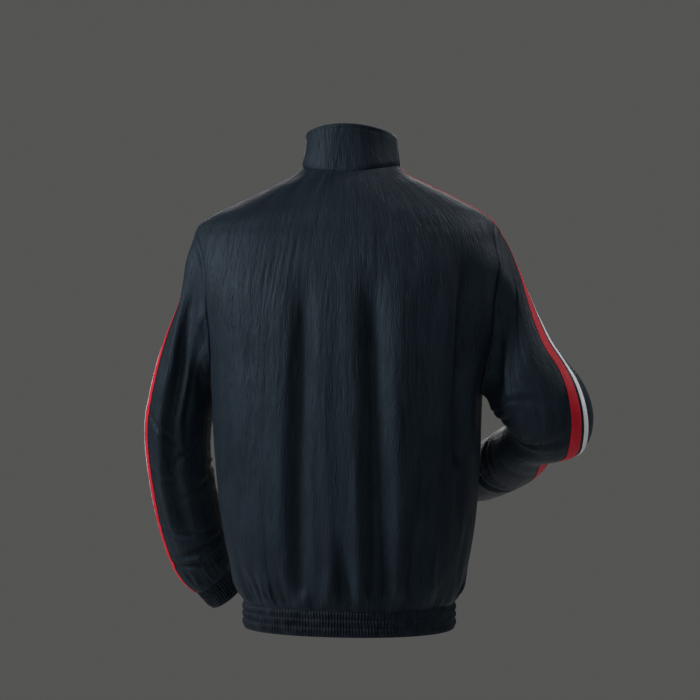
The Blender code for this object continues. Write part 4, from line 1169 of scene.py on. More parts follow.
def finished(made, colour, rough, *heights, **uniform):
    """Fills the shader: colour, roughness, bumps as height, distance and strength, uniform values."""
    tree = made.node_tree
    shader = tree.nodes["Principled BSDF"]
    feed(tree, shader.inputs["Base Color"], colour)
    feed(tree, shader.inputs["Roughness"], rough)
    for key, value in uniform.items():
        shader.inputs[key.replace("_", " ")].default_value = value
    before = None
    for height, distance, strength in heights:
        inputs = {"Height": height, "Distance": distance, "Strength": strength}
        if before is not None:
            inputs["Normal"] = before
        before = node(tree, "Bump", inputs).outputs[0]
    if before is not None:
        feed(tree, shader.inputs["Normal"], before)
    return made


def toned(tree, patches, span, change, dark, light):
    """The cloth's colour: its patches spread over a span, with the yarn's own changes; for the nylon these
    also carry painted shade in its creases.
    """
    tone = add(tree, between(tree, patches, *span), change)
    tone.node.use_clamp = True
    return blended(tree, tone, dark, light)


def lifted(colour, gain, rise=0.0):
    """A lighter tone of a colour."""
    return tuple(min(1.0, c * gain + rise) for c in colour)


def nylon_material(colours):
    made, tree, place = new_material("crinkled_nylon")
    wide = grouped(tree, "crinkle", Cloth=place, Across=0.0040, Along=0.030, Seed=1.0)
    fine = grouped(tree, "crinkle", Cloth=place, Across=0.0023, Along=0.016, Seed=7.0)
    weave = grouped(tree, "weave", Cloth=place, Thread=0.00045, Slub=0.5)
    rub = grouped(tree, "rub", Place=place, Size=0.03, Amount=0.5)
    # Painted shade: besides the yarn's slubs, the colour is lighter on the crests of the wide creases and
    # darker in their hollows.
    slubs_and_crease_shade = add(tree, weave["Slubs"], times(tree, wide["Height"], 0.22))
    tones = colours.nylon_dark, colours.nylon_light
    tone = toned(tree, wide["Patches"], (-0.15, 0.85, 0.25, 0.75), slubs_and_crease_shade, *tones)
    dull = between(tree, fine["Height"], 0.66, 0.54, -1.0, 1.0)
    return finished(
        made, tone, add(tree, dull, times(tree, rub["Change"], 0.3)),
        (wide["Height"], 0.00080, 0.75), (fine["Height"], 0.00030, 0.50), (weave["Height"], 0.00005, 0.35),
        Specular_IOR_Level=0.17, Specular_Tint=(0.60, 0.80, 1.0, 1.0), Sheen_Weight=0.02,
        Sheen_Roughness=0.45, Sheen_Tint=(0.65, 0.75, 1.0, 1.0),
    )  # fmt: skip


def ribbing_material(colours):
    made, tree, place = new_material("shirred_nylon")
    fine = grouped(tree, "crinkle", Cloth=place, Across=0.0016, Along=0.006, Seed=3.0)
    weave = grouped(tree, "weave", Cloth=place, Thread=0.00045, Slub=0.5)
    tones = colours.ribbing_dark, colours.ribbing_light
    tone = toned(tree, fine["Patches"], (0.0, 0.9, 0.3, 0.7), weave["Slubs"], *tones)
    return finished(
        made, tone, between(tree, fine["Height"], 0.70, 0.58, -1.0, 1.0),
        (fine["Height"], 0.00030, 0.55), (weave["Height"], 0.00005, 0.35),
        Specular_IOR_Level=0.16, Specular_Tint=(0.60, 0.80, 1.0, 1.0), Sheen_Weight=0.02,
    )  # fmt: skip


def tape_material(name, colour, faded):
    made, tree, place = new_material(name)
    knit = grouped(tree, "knit", Cloth=place, Rib=0.0022, Stitch=0.0011)
    rub = grouped(tree, "rub", Place=place, Size=0.012, Amount=0.8)
    tone = toned(tree, knit["Shade"], (0.0, 0.8, 0.35, 0.7), rub["Change"], colour, faded)
    rough = between(tree, knit["Height"], 0.66, 0.50, 0.0, 1.3)
    bump = knit["Height"], 0.00016, 0.60
    return finished(made, tone, rough, bump, Specular_IOR_Level=0.18, Sheen_Weight=0.03)


def zip_cloth_material(colours):
    made, tree, place = new_material("zip_tape_weave")
    weave = grouped(tree, "weave", Cloth=place, Thread=0.0006, Slub=0.8)
    knit = grouped(tree, "knit", Cloth=place, Rib=0.0016, Stitch=0.0009)
    tones = colours.zip_cloth, lifted(colours.zip_cloth, 1.9, 0.004)
    tone = toned(tree, knit["Shade"], (0.0, 0.8, 0.3, 0.7), weave["Slubs"], *tones)
    rough = between(tree, knit["Height"], 0.80, 0.64, 0.0, 1.3)
    bumps = (knit["Height"], 0.00014, 0.55), (weave["Height"], 0.00006, 0.5)
    return finished(made, tone, rough, *bumps, Specular_IOR_Level=0.15)


def hard_material(name, colour, lighter, rubbed, spread, rough, bump, **uniform):
    """A moulded, sewn or painted finish whose only change comes from handling."""
    made, tree, place = new_material(name, on_cloth=False)
    change = grouped(tree, "rub", Place=place, **rubbed)["Change"]
    tone = blended(tree, between(tree, change, 0.0, 1.0, -spread, spread), colour, lighter)
    dull = add(tree, rough[0], times(tree, change, rough[1]))
    return finished(made, tone, dull, (change, *bump), **uniform)


def thread_material(name, colour):
    size, lighter = {"Size": 0.002, "Amount": 0.6}, lifted(colour, 1.5, 0.01)
    return hard_material(name, colour, lighter, size, 0.25, (0.62, 1.0), (0.0001, 0.4), Sheen_Weight=0.2)


def metal_material(colours):
    made, tree, place = new_material("plated_metal", on_cloth=False)
    rub = grouped(tree, "rub", Place=place, Size=0.003, Amount=0.6)
    grain = grouped(tree, "crinkle", Cloth=place, Across=0.00025, Along=0.006, Seed=9.0)
    worn = between(tree, add(tree, rub["Change"], rub["Specks"]), 0.0, 1.0, -0.1, 0.4)
    tone = blended(tree, worn, colours.metal, lifted(colours.metal, 1.5))
    rough = add(tree, 0.38, times(tree, rub["Change"], 0.5))
    return finished(made, tone, rough, (grain["Height"], 0.00004, 0.35), Metallic=1.0)


def stage_material(colour):
    made, tree, place = new_material("studio_floor", on_cloth=False)
    change = grouped(tree, "rub", Place=place, Size=0.6, Amount=0.3)["Change"]
    tone = blended(tree, between(tree, change, 0.0, 1.0, -0.1, 0.1), colour, lifted(colour, 1.06))
    return finished(made, tone, 0.75)


LOOKS = {}


def look(name):
    """The finish of a piece, made once from the sidebar's colours."""
    if not LOOKS:
        colours = bpy.context.scene.windbreaker_colours
        moulded = colours.zip_cloth, lifted(colours.zip_cloth, 2.2, 0.006)
        LOOKS.update(
            nylon=nylon_material(colours),
            ribbing=ribbing_material(colours),
            red=tape_material("red_knit_tape", colours.red_tape, colours.red_faded),
            white=tape_material("white_knit_tape", colours.white_tape, colours.white_faded),
            zip=zip_cloth_material(colours),
            teeth=hard_material(
                "moulded_teeth", *moulded, {"Size": 0.004, "Amount": 0.5}, 0.2,
                (0.40, 0.4), (0.0002, 0.4), Specular_IOR_Level=0.30,
            ),
            metal=metal_material(colours),
            red_thread=thread_material("red_thread", colours.red_tape),
            white_thread=thread_material("white_thread", colours.white_tape),
            navy_thread=thread_material("navy_thread", colours.nylon_light),
        )  # fmt: skip
    return LOOKS[name]


# ---------------------------------------------------------------- collar, bands and cuffs

BAND_TIERS, CUFF_TIERS = (0.06, 0.36, 0.66, 0.95), (0.08, 0.50, 0.93)
RIB_STEPS, BAND_ROUND = 6, 0.0030
# Half depth and half width of a cuff, and how much each narrows towards the hand.
CUFF_PLAN = ((0.0345, 0.0020), (0.0360, 0.0015))
COLLAR_STITCHES, COLLAR_WALL = 0.0065, 0.0026


def collar_points(size):
    """Outer points of the stand collar, with extra rows near its folded top."""
    front, back = front_grid("left")[0][-1], back_grid()[0][-1]
    coarse = np.concatenate([front[:0:-1], back, np.pi - front[1:]])
    base = torso_point(coarse, neckline(coarse))
    places = fine_places(base[:, None], size)
    angle = refine(coarse[:, None, None], places, spans(base[:, None]))[:, 0, 0]
    s = np.sin(angle)
    top = COLLAR_TOP_SIDE + (COLLAR_TOP_BACK - COLLAR_TOP_SIDE) * np.maximum(s, 0) ** 1.5
    top += (COLLAR_TOP_FRONT - COLLAR_TOP_SIDE) * np.maximum(-s, 0) ** 1.3
    low = neckline(angle)
    base, centre_y = torso_point(angle, low), TORSO_CURVES[3](low)
    outer = []
    for t in np.concatenate([np.linspace(0, 0.9, 24), 1 - 0.1 * (1 - np.linspace(0, 1, 12)[1:]) ** 1.6]):
        shrink = 1 + (COLLAR_TAPER - 1) * t - 0.012 * math.sin(math.pi * t)
        z = low + COLLAR_SEAM + (top - low - COLLAR_SEAM) * t
        x = base[:, 0] * shrink
        x = np.where(np.abs(x) < 0.03, base[:, 0] * (1 + (shrink - 1) * np.abs(x) / 0.03), x)
        outer.append(np.stack([x, centre_y + (base[:, 1] - centre_y) * shrink, z], -1))
    outer = np.array(outer)
    outer[:, 0, 0], outer[:, -1, 0] = ZIP_HALF, -ZIP_HALF
    return outer


def from_top(points):
    """Distance of each point below its column's top."""
    steps = spans(points)[::-1]
    return np.concatenate([np.zeros_like(steps[:1]), np.cumsum(steps, axis=0)])[::-1]


def sew_collar(settings):
    """The stand collar; returns its outer face and the directions out of it."""
    base = collar_points(settings.mesh_size)
    normals = unit(np.cross(np.gradient(base, axis=1), np.gradient(base, axis=0)))
    normals[:, [0, -1], 0] = 0.0
    normals[[0, -1], :, 2] = 0.0
    normals = unit(normals)
    place = metres(base)
    u, v = place[..., 0], place[..., 1]
    below, seed = from_top(base), SEEDS["collar"]
    streaks = 0.6 * crests(u, v, 0.0120, 0.050, seed) + 0.3 * crests(u, v, 0.0060, 0.035, seed + 1)
    drag = ramp(v, 0.018, 0.002) * crests(u, v, 0.0075, 0.05, seed + 3)
    height = settings.crinkle_depth * (0.8 * streaks + 0.9 * drag)
    height += 0.0018 * ripple(u / 0.040, v / 0.035, seed + 2)
    height *= ramp(edge_distance(base), 0.0, 0.006)
    height -= 0.0005 * bell((below - COLLAR_STITCHES) / 0.0013)
    height -= settings.seam_dip * (1 - ramp(v, 0.0, 0.0045))
    outer = base + normals * np.clip(height, *COLLAR_LIMITS)[..., None]
    high, low = rounded(outer, base - COLLAR_WALL * normals, below, 0.0024)
    high, _, uv = tucked(high, normals, place)
    low = tucked(low, normals, place)[0]
    made = shell("collar_cloth", high, low, uv, look("nylon"))
    cloth(made, "collar")
    return outer, normals


def rib_height(turn, share, depth, seed, tiers):
    """Uneven ribs by turn number and share of a band's height, drawn in by its elastic."""
    turn, share = np.broadcast_arrays(turn[None, :], share[:, None])
    sway = 0.22 * ripple(turn / 5, share * 3, seed)
    uneven = 0.75 + 0.35 * ripple(turn / 1.7, share * 2.4, seed + 1)
    height = depth * uneven * np.cos(2 * np.pi * (turn + sway))
    height += 0.35 * depth * ripple(turn * 1.6, share * 5, seed + 2)
    drawn = sum(bell((share - tier) / 0.045) for tier in tiers)
    return height * (1 - 0.70 * np.clip(drawn, 0, 1)) - 0.9 * depth * drawn


def shirr_hem(settings):
    """The gathered hem band, open at the centre front."""
    edge = float(zip_angle(np.array([HEM_Z]), "left")[0])
    columns = settings.band_ribs * RIB_STEPS
    count = np.arange(columns + 1)
    angle = np.linspace(edge, np.pi - edge, columns + 1)
    radius, middle = plan_radius(angle, HEM_Z)
    share = np.linspace(0, 1, 19)
    height = rib_height(count / RIB_STEPS, share, settings.rib_depth, 81, BAND_TIERS)
    height += 0.0006 * ripple(count[None, :] / 40, share[:, None] * 1.5, 85)
    height *= ramp(np.minimum(count, columns - count), 0, RIB_STEPS)

    def rings(size):
        x, y = size * np.cos(angle), middle + size * np.sin(angle)
        x[:, 0], x[:, -1] = ZIP_HALF, -ZIP_HALF
        z = BAND_BOTTOM + (HEM_Z - RING_SEAM - BAND_BOTTOM) * share[:, None]
        return np.stack([x, y, np.broadcast_to(z, x.shape)], -1)

    outer = rings(radius + height)
    rise = share[:, None] * (HEM_Z - RING_SEAM - BAND_BOTTOM)
    away = np.broadcast_to(np.minimum(rise, rise[-1] - rise + 0.0006), height.shape)
    inner = rings(np.broadcast_to(radius - settings.band_wall, height.shape))
    high, low = rounded(outer, inner, away, BAND_ROUND)
    made = shell("hem_band_cloth", high, low, metres(outer), look("ribbing"))
    cloth(made, "hem_band")


def shirr_cuff(side, settings):
    """A gathered cuff on the sleeve's end."""
    start, end = np.array(SLEEVE_STATIONS[side][-1][0]), np.array(CUFF_ENDS[side])
    outward, way = (part[0] for part in sleeve_path(side, np.array([1.0]))[3:5])
    columns = settings.cuff_ribs * RIB_STEPS
    count, share = np.arange(columns), np.linspace(0, 1, 15)
    places = count / columns
    depth, seed = 0.95 * settings.rib_depth, SEEDS["cuff_" + side]
    height = rib_height(count / RIB_STEPS, share, depth, seed, CUFF_TIERS)
    last = ramp(columns - count, 0, RIB_STEPS)[None, :]
    height = height * last + height[:, :1] * (1 - last)
    outer, inner = [], []
    for k, t in enumerate(share):
        centre = start + way * RING_SEAM + (end - start) * t
        half_depth, half_width = (size - taper * t for size, taper in CUFF_PLAN)
        ring = ring_points(centre, half_depth, half_width, outward, way, places, side)
        away = unit(ring - centre)
        outer.append(ring + height[k][:, None] * away)
        inner.append(ring - (settings.band_wall - 0.0004) * away)
    outer, inner = np.array(outer), np.array(inner)
    rise = share[:, None] * float(np.linalg.norm(end - start))
    away = np.broadcast_to(np.minimum(rise + 0.0006, rise[-1] - rise), height.shape)
    high, low = rounded(outer, inner, away, BAND_ROUND)
    made = shell(f"cuff_{side}_cloth", high, low, metres(outer, closed=True), look("ribbing"), closed=True)
    cloth(made, "cuff_" + side)


# ---------------------------------------------------------------- stitching

STITCH_LIFT, TAPE_STITCHES = 0.00005, 0.0016
# Bare ends of a row, and the places of a stitch's sections along it.
STITCH_MARGINS, STITCH_POINTS = (0.0012, 0.0008), (0.0, 0.22, 0.5, 0.78, 1.0)


def stitch_row(line, normals, settings):
    """Places along a line for its stitches, with their directions and sizes."""
    run = run_along(line)
    last = run[-1] - settings.stitch_length - STITCH_MARGINS[1]
    starts = np.arange(STITCH_MARGINS[0], last, settings.stitch_pitch)
    where = starts[:, None] + np.array(STITCH_POINTS) * settings.stitch_length
    at, up = read_at(where, run, line), unit(read_at(where, run, normals))
    side = unit(np.cross(unit(np.gradient(at, axis=1)), up))
    return at, up, side


def stitching(name, lines, settings, thread):
    """Rows of sunk stitches in one object: each is a low spindle of thread."""
    turn = 2 * np.pi * (np.arange(4) + 0.5) / 4
    size = np.array([0.85, 1.0, 0.85]) * settings.thread_width / 2
    points = []
    for line, normals in lines:
        at, up, side = stitch_row(line, normals, settings)
        high = 0.8 * (np.sin(turn) + 0.35)
        rings = np.cos(turn)[:, None] * side[:, 1:4, None] + high[:, None] * up[:, 1:4, None]
        rings = at[:, 1:4, None] + size[:, None, None] * rings
        ends = at[:, [0, 4]] - 0.0002 * up[:, [0, 4]]
        points.append(np.concatenate([ends[:, :1], rings.reshape(len(at), 12, 3), ends[:, 1:]], axis=1))
    points = np.concatenate(points)
    one = []
    for c in range(4):
        d = (c + 1) % 4
        one += [(0, 1 + d, 1 + c), (13, 9 + c, 9 + d)]
        for r in (1, 5):
            one += [(r + c, r + d, r + d + 4), (r + c, r + d + 4, r + c + 4)]
    faces = (np.array(one)[None] + 14 * np.arange(len(points))[:, None, None]).reshape(-1, 3)
    made = new_object(name, points.reshape(-1, 3), faces, None, thread, sharp=180.0)
    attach(made, BODY)
    return made


def along_line(points, normals, columns, place):
    """A line of a grid between its columns, lifted off it by the stitches."""
    k = int(np.clip(np.searchsorted(columns, place) - 1, 0, len(columns) - 2))
    t = (place - columns[k]) / (columns[k + 1] - columns[k])
    line = points[:, k] * (1 - t) + points[:, k + 1] * t
    up = unit(normals[:, k] * (1 - t) + normals[:, k + 1] * t)
    return line + STITCH_LIFT * up, up


# ---------------------------------------------------------------- zip


def zip_line(z):
    """Outer face of the zip's tapes at the centre front."""
    return front_line(z) + ZIP_RECESS


# Gap at the middle below the slider, how much wider it is above it, and where that happens.
TEETH_GAP, TEETH_SPREAD, SPREAD_RUN = 0.0010, 0.0011, (0.008, 0.005)


def parting(z):
    """How far a half of the zip stands off the middle: closed below the slider, open above it."""
    return TEETH_SPREAD * ramp(z, SLIDER_Z - SPREAD_RUN[0], SLIDER_Z - SPREAD_RUN[1])


def weave_zip(side):
    """One woven half of the zip, thickened where its teeth are held."""
    hand = HAND[side]
    z = np.linspace(BOX_TOP + RING_SEAM, COLLAR_TOP_FRONT, 270)
    near = TEETH_GAP + parting(z)
    share = np.linspace(0, 1, 7)[None, :]
    x = near[:, None] + (ZIP_EDGE - near[:, None]) * share
    bead = 0.00018 * bell((share - 0.12) / 0.10)
    y = zip_line(z)[:, None] + 0.00015 - bead
    face = np.stack([hand * x, y, np.broadcast_to(z[:, None], x.shape)], -1)
    behind = face + np.array([0, 0.0009, 0])
    away = np.broadcast_to((share[0] * (ZIP_EDGE - 0.001))[None, :], x.shape)
    high, low = rounded(face, behind, away, 0.0005)
    made = shell(f"zip_tape_{side}_cloth", high, low, metres(face), look("zip"))
    stand_in(made, "zip_tape_" + side)


# A tooth's outline in shares of its half width and of its height.
TOOTH_OUTLINE = (
    (-1, 0.5), (-1, -0.5), (-2 / 13, -0.5), (4 / 13, -0.34), (9 / 13, -0.5), (1, -0.30),
    (1, 0.30), (9 / 13, 0.5), (4 / 13, 0.34), (-2 / 13, 0.5),
)  # fmt: skip


def tooth(depth, width, height):
    """A moulded tooth along X from its root: a block with a narrowed neck and a round head."""
    flat = np.array(TOOTH_OUTLINE) * (width, height)
    eased, level = flat * (0.86, 0.80), depth / 2 - 0.0003
    faces_out = ((eased, -depth / 2), (flat, -level), (flat, level), (eased, depth / 2))
    points = np.array([(x, y, h) for ring, y in faces_out for x, h in ring])
    n = len(flat)
    faces = []
    for ring in range(3):
        for k in range(n):
            a, b = ring * n + k, ring * n + (k + 1) % n
            faces += [(a, b, b + n), (a, b + n, a + n)]
    faces += [(0, k + 1, k) for k in range(1, n - 1)]
    faces += [(3 * n, 3 * n + k, 3 * n + k + 1) for k in range(1, n - 1)]
    return points, np.array(faces)


def mould_teeth(side, settings):
    """A half's row of moulded teeth: meshed below the slider, parted above it."""
    hand = HAND[side]
    pitch = settings.tooth_pitch
    start = BOX_TOP + 0.0014 + (0.0 if side == "left" else pitch / 2)
    z = np.arange(start, COLLAR_TOP_FRONT - 0.0016, pitch)
    z = z[np.abs(z - SLIDER_Z + 0.003) > 0.0072]
    lean = np.arctan((zip_line(z + 0.001) - zip_line(z - 0.001)) / 0.002)[:, None]
    points, faces = tooth(0.0019, 0.0012, 0.62 * pitch)
    points[:, 0] *= -hand
    if hand > 0:
        faces = faces[:, ::-1]
    x, y, h = points.T
    across = x + hand * (0.0008 + parting(z))[:, None]
    deep = y * np.cos(lean) + h * np.sin(lean) + (zip_line(z) + 0.0003)[:, None]
    high = h * np.cos(lean) - y * np.sin(lean) + z[:, None]
    turned = np.stack([across, deep, high], -1)
    every = (faces[None] + len(points) * np.arange(len(z))[:, None, None]).reshape(-1, 3)
    name = "zip_teeth_" + side
    made = new_object(name, turned.reshape(-1, 3), every, None, look("teeth"), sharp=35.0)
    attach(made, BODY)


def finish_part(node, body, edge):
    """A copy of a metal part with its edges eased, in its plated finish."""
    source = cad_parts[node]
    source = source[0] if isinstance(source, (list, tuple)) else source
    made = bpy.data.objects.new(node + "_plated", source.data.copy())
    bpy.context.scene.collection.objects.link(made)
    made.matrix_world = source.matrix_world.copy()
    made.data.materials.clear()
    made.data.materials.append(look("metal"))
    ease = made.modifiers.new("eased_edges", "BEVEL")
    ease.width, ease.segments = edge, 3
    ease.limit_method, ease.angle_limit = "ANGLE", math.radians(40)
    made.data.polygons.foreach_set("use_smooth", np.ones(len(made.data.polygons), bool))
    made.data.set_sharp_from_angle(angle=math.radians(50))
    stand_in(made, node, body)


# ---------------------------------------------------------------- settings


def size(name, default, description, **more):
    return bpy.props.FloatProperty(
        name=name, default=default, description=description,
        subtype="DISTANCE", unit="LENGTH", precision=5, **more,
    )  # fmt: skip


def colour(name, default, description):
    return bpy.props.FloatVectorProperty(
        name=name, default=default, description=description, subtype="COLOR", size=3, min=0.0, max=1.0
    )


def power(name, default, description):
    return bpy.props.FloatProperty(name=name, default=default, min=0.0, unit="POWER", description=description)


def count(name, default, least, description):
    return bpy.props.IntProperty(name=name, default=default, min=least, description=description)


class WindbreakerCloth(bpy.types.PropertyGroup):
    mesh_size: size("Mesh Size", 0.003, "Spacing of the cloth's points", min=0.002)
    crinkle_depth: size("Crinkle Depth", 0.0009, "Height of the nylon's fine streaks")
    gather_depth: size("Gather Depth", 0.0040, "Height of the puckers above the hem band and the cuffs")
    seam_dip: size("Seam Dip", 0.0007, "How far the cloth turns in at a seam")
    cloth_thickness: size("Cloth Thickness", 0.0010, "Thickness of the shell with its lining")
    band_wall: size("Band Thickness", 0.0030, "Thickness of the hem band and the cuffs")
    rib_depth: size("Rib Depth", 0.0014, "Height of the gathered ribs")
    band_ribs: count("Band Ribs", 184, 40, "Ribs round the hem band")
    cuff_ribs: count("Cuff Ribs", 44, 12, "Ribs round each cuff")


class WindbreakerTrim(bpy.types.PropertyGroup):
    tooth_pitch: size("Tooth Pitch", 0.0026, "Distance between the teeth of one half of the zip")
    eased_edge: size("Eased Edge", 0.00022, "Rounding of the metal parts' edges")
    stitch_length: size("Stitch Length", 0.0019, "Length of a stitch on the outside")
    stitch_pitch: size("Stitch Pitch", 0.0027, "Distance from one stitch to the next")
    thread_width: size("Thread Width", 0.00045, "Width of the sewing thread")


class WindbreakerColours(bpy.types.PropertyGroup):
    nylon_dark: colour("Nylon, Shaded", (0.0040, 0.0072, 0.0115), "Darker tone of the nylon")
    nylon_light: colour("Nylon, Lit", (0.0090, 0.0158, 0.0230), "Lighter tone of the nylon")
    ribbing_dark: colour("Ribbing, Shaded", (0.0030, 0.0045, 0.0075), "Darker tone of the gathered bands")
    ribbing_light: colour("Ribbing, Lit", (0.0085, 0.0120, 0.0180), "Lighter tone of the gathered bands")
    red_tape: colour("Red Tape", (0.470, 0.003, 0.016), "Colour of the wide tape")
    red_faded: colour("Red Tape, Worn", (0.560, 0.008, 0.026), "Worn colour of the wide tape")
    white_tape: colour("White Tape", (0.740, 0.770, 0.820), "Colour of the narrow tape")
    white_faded: colour("White Tape, Lit", (0.880, 0.900, 0.930), "Lighter tone of the narrow tape")
    zip_cloth: colour("Zip Cloth", (0.0050, 0.0070, 0.0110), "Colour of the zip's tapes and teeth")
    metal: colour("Metal", (0.300, 0.310, 0.330), "Colour of the slider, its tab and the box")
    floor: colour("Floor", (0.400, 0.400, 0.396), "Colour of the floor")
    studio: colour("Studio", (0.090, 0.090, 0.088), "Colour of the surroundings")


class WindbreakerStage(bpy.types.PropertyGroup):
    distance: size("Camera Distance", 3.0, "Distance of the camera from the garment's middle")
    eye_height: size("Camera Height", -0.261, "Height of the camera")
    bearing: bpy.props.FloatProperty(
        name="Bearing", default=math.radians(192.0), subtype="ANGLE", unit="ROTATION",
        description="Turn of the camera round the garment; 180 degrees looks at the back",
    )  # fmt: skip
    lens: bpy.props.FloatProperty(
        name="Lens", default=105.2, min=20.0, description="Focal length",
        subtype="DISTANCE_CAMERA", unit="CAMERA",
    )  # fmt: skip
    floor_height: size("Floor Height", -1.45, "Height of the floor below the shoulders")
    key_power: power("Key Light", 135.0, "Power of the broad light")
    soft_power: power("Soft Light", 26.0, "Power of the light on the back")
    rim_power: power("Rim Light", 45.0, "Power of the light behind the right shoulder")
    fill_power: power("Fill Light", 52.0, "Power of the light on the front")


# ---------------------------------------------------------------- operators


LAID = {}


def laid(name):
    """What an earlier step left for this one."""
    if name not in LAID:
        raise RuntimeError(f"{name} has to be sewn first")
    return LAID[name]


class SewBack(bpy.types.Operator):
    """Sews the back panel"""

    bl_idname = "windbreaker.sew_back"
    bl_label = "Sew Back"

    def execute(self, context):
        settings = context.scene.windbreaker_cloth
        grid = panel_grid(*back_grid(), settings)
        sew_panel("back_cloth", "back", grid, settings)
        return {"FINISHED"}


class SewFronts(bpy.types.Operator):
    """Sews the two front panels"""

    bl_idname = "windbreaker.sew_fronts"
    bl_label = "Sew Fronts"

    def execute(self, context):
        settings = context.scene.windbreaker_cloth
        for side in SIDES:
            angle, z, present, first = front_parts(side)
            grid = panel_grid(angle, z, settings, present, (first, 6))
            name, node = f"front_{side}_cloth", "front_" + side
            outer, facing = sew_panel(name, node, grid, settings)
            row = int(np.searchsorted(grid[3], first))
            LAID["shoulder_" + side] = outer[row:], facing[row:], grid[4]
            LAID["zip_edge_" + side] = outer[:, -3], facing[:, -3]
        return {"FINISHED"}


class SetSleeves(bpy.types.Operator):
    """Sets both sleeves into their armholes"""

    bl_idname = "windbreaker.set_sleeves"
    bl_label = "Set Sleeves"

    def execute(self, context):
        settings = context.scene.windbreaker_cloth
        for side in SIDES:
            outer, normals, facing, uv, columns = fine_sleeve(side, settings)
            parts = outer, normals, uv
            for _ in range(2):
                parts = [part[::-1] for part in tucked(*parts)]
            wall, out, uv = parts
            inner = wall - settings.cloth_thickness * out
            made = shell(f"sleeve_{side}_cloth", wall, inner, uv, look("nylon"), closed=True)
            cloth(made, "sleeve_" + side)
            LAID["sleeve_" + side] = outer, facing, columns
        return {"FINISHED"}


class LayTapes(bpy.types.Operator):
    """Lays the red and the white tape along both shoulders and sleeves"""

    bl_idname = "windbreaker.lay_tapes"
    bl_label = "Lay Tapes"

    def execute(self, context):
        for side in SIDES:
            for part, under, first, trim in TAPE_RUNS:
                outer, facing, places = laid(f"{part}_{side}")
                for tone, (start, end) in TAPE_COLUMNS.items():
                    node, lines = f"{part}_tape_{tone}_{side}", (first + start, first + end)
                    LAID[node] = lay_tape(node, (outer, facing), places, lines, trim)
        return {"FINISHED"}


class StandCollar(bpy.types.Operator):
    """Sews the stand collar to the neckline"""

    bl_idname = "windbreaker.stand_collar"
    bl_label = "Stand Collar"

    def execute(self, context):
        LAID["collar"] = sew_collar(context.scene.windbreaker_cloth)
        return {"FINISHED"}


class ShirrBands(bpy.types.Operator):
    """Gathers the hem band and both cuffs"""

    bl_idname = "windbreaker.shirr_bands"
    bl_label = "Shirr Bands"

    def execute(self, context):
        settings = context.scene.windbreaker_cloth
        shirr_hem(settings)
        for side in SIDES:
            shirr_cuff(side, settings)
        return {"FINISHED"}


class FitZip(bpy.types.Operator):
    """Fits the two halves of the zip with their teeth"""

    bl_idname = "windbreaker.fit_zip"
    bl_label = "Fit Zip"

    def execute(self, context):
        settings = context.scene.windbreaker_trim
        for side in SIDES:
            weave_zip(side)
            mould_teeth(side, settings)
        return {"FINISHED"}


class PlateMetal(bpy.types.Operator):
    """Finishes the slider, its pull tab and the zip's box"""

    bl_idname = "windbreaker.plate_metal"
    bl_label = "Plate Metal"

    def execute(self, context):
        edge = context.scene.windbreaker_trim.eased_edge
        for node, body in (("zip_slider", BODY), ("zip_pull", "pull_tab"), ("zip_box", BODY)):
            finish_part(node, body, edge)
        return {"FINISHED"}


class RunStitches(bpy.types.Operator):
    """Runs the stitching of the tapes, the collar and the zip's edges"""

    bl_idname = "windbreaker.run_stitches"
    bl_label = "Run Stitches"

    def execute(self, context):
        settings = context.scene.windbreaker_trim
        for tone in ("red", "white"):
            lines = []
            for side in SIDES:
                for part in ("shoulder", "sleeve"):
                    face, normals = laid(f"{part}_tape_{tone}_{side}")
                    width = run_along(face.swapaxes(0, 1))
                    for inset in (TAPE_STITCHES, width[-1] - TAPE_STITCHES):
                        lines.append(along_line(face, normals, width, inset))
            stitching("stitching_" + tone, lines, settings, look(tone + "_thread"))
        outer, normals = laid("collar")
        down = from_top(outer).mean(axis=1)[::-1]
        outer, normals = outer[::-1].swapaxes(0, 1), normals[::-1].swapaxes(0, 1)
        lines = [along_line(outer, normals, down, COLLAR_STITCHES)]
        for side in SIDES:
            line, up = laid("zip_edge_" + side)
            lines.append((line + STITCH_LIFT * up, up))
        stitching("stitching_navy", lines, settings, look("navy_thread"))
        return {"FINISHED"}


# Lights: name, place and width.
LIGHTS = (
    ("key", (3.0, 1.6, 1.1), 1.3),
    ("soft", (-0.9, 3.6, 0.7), 2.4),
    ("rim", (-1.9, -1.0, 1.9), 0.9),
    ("fill", (0.6, -3.2, 0.9), 2.0),
)
LIGHT_AIM, FLOOR_RADIUS = (0.0, 0.0, -0.30), 3.9
SENSOR_WIDTH, LENS_SHIFT = 36.0, -1 / 700


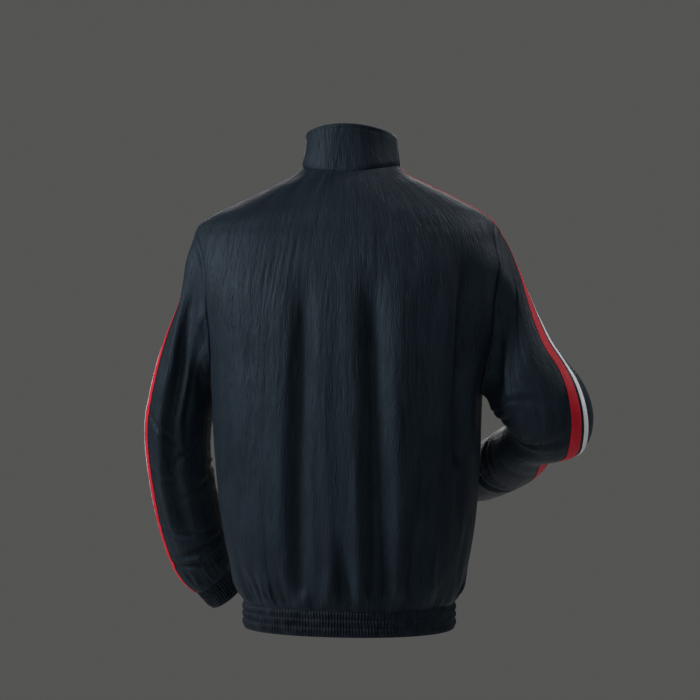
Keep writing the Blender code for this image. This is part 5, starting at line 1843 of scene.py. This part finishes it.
class SetStage(bpy.types.Operator):
    """Sets up the studio's floor, lights and camera"""

    bl_idname = "windbreaker.set_stage"
    bl_label = "Set Stage"

    def execute(self, context):
        stage = context.scene.windbreaker_stage
        colours = context.scene.windbreaker_colours
        turn = np.linspace(0, 2 * math.pi, 97)[:-1]
        rim = FLOOR_RADIUS * np.stack([np.cos(turn), np.sin(turn), np.zeros_like(turn)], -1)
        rim[:, 2] = stage.floor_height
        mesh = bpy.data.meshes.new("studio_floor")
        mesh.from_pydata(rim.tolist(), [], [list(range(len(rim)))])
        floor = bpy.data.objects.new("studio_floor", mesh)
        mesh.materials.append(stage_material(colours.floor))
        context.scene.collection.objects.link(floor)
        world = bpy.data.worlds.new("studio")
        context.scene.world = world
        world.use_nodes = True
        around = world.node_tree.nodes["Background"].inputs
        around["Color"].default_value = (*colours.studio, 1.0)
        around["Strength"].default_value = 1.0
        for name, place, width in LIGHTS:
            light = bpy.data.lights.new(name + "_light", "AREA")
            light.energy, light.size = getattr(stage, name + "_power"), width
            lamp = bpy.data.objects.new(name + "_light", light)
            context.scene.collection.objects.link(lamp)
            lamp.location = place
            toward = mathutils.Vector(LIGHT_AIM) - lamp.location
            lamp.rotation_euler = toward.to_track_quat("-Z", "Y").to_euler()
        camera = bpy.data.cameras.new("camera")
        camera.lens, camera.sensor_width, camera.shift_x = stage.lens, SENSOR_WIDTH, LENS_SHIFT
        camera.dof.use_dof = False
        eye = bpy.data.objects.new("camera", camera)
        context.scene.collection.objects.link(eye)
        turn = stage.bearing
        eye.location = (stage.distance * math.sin(turn), -stage.distance * math.cos(turn), stage.eye_height)
        eye.rotation_euler = (math.pi / 2, 0.0, turn)
        context.scene.camera = eye
        context.scene.view_settings.view_transform = "Standard"
        return {"FINISHED"}


STEPS = (
    SewBack, SewFronts, SetSleeves, LayTapes, StandCollar,
    ShirrBands, FitZip, PlateMetal, RunStitches, SetStage,
)  # fmt: skip
GROUPED = (
    ("windbreaker_cloth", WindbreakerCloth),
    ("windbreaker_trim", WindbreakerTrim),
    ("windbreaker_colours", WindbreakerColours),
    ("windbreaker_stage", WindbreakerStage),
)


class WindbreakerPanel(bpy.types.Panel):
    """Sizes, colours and steps of the windbreaker"""

    bl_idname = "VIEW3D_PT_windbreaker"
    bl_label = "Windbreaker"
    bl_space_type = "VIEW_3D"
    bl_region_type = "UI"
    bl_category = "Windbreaker"

    def draw(self, context):
        for name, group in GROUPED:
            box = self.layout.box()
            for key in group.__annotations__:
                box.prop(getattr(context.scene, name), key)
        for step in STEPS:
            self.layout.operator(step.bl_idname)


def register():
    for _, group in GROUPED:
        bpy.utils.register_class(group)
    for name, group in GROUPED:
        setattr(bpy.types.Scene, name, bpy.props.PointerProperty(type=group))
    for step in STEPS:
        bpy.utils.register_class(step)
    bpy.utils.register_class(WindbreakerPanel)


def unregister():
    bpy.utils.unregister_class(WindbreakerPanel)
    for step in reversed(STEPS):
        bpy.utils.unregister_class(step)
    for name, group in reversed(GROUPED):
        delattr(bpy.types.Scene, name)
        bpy.utils.unregister_class(group)


def main():
    register()
    for step in STEPS:
        group, name = step.bl_idname.split(".")
        getattr(getattr(bpy.ops, group), name)()
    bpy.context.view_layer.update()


if __name__ == "__main__":
    main()
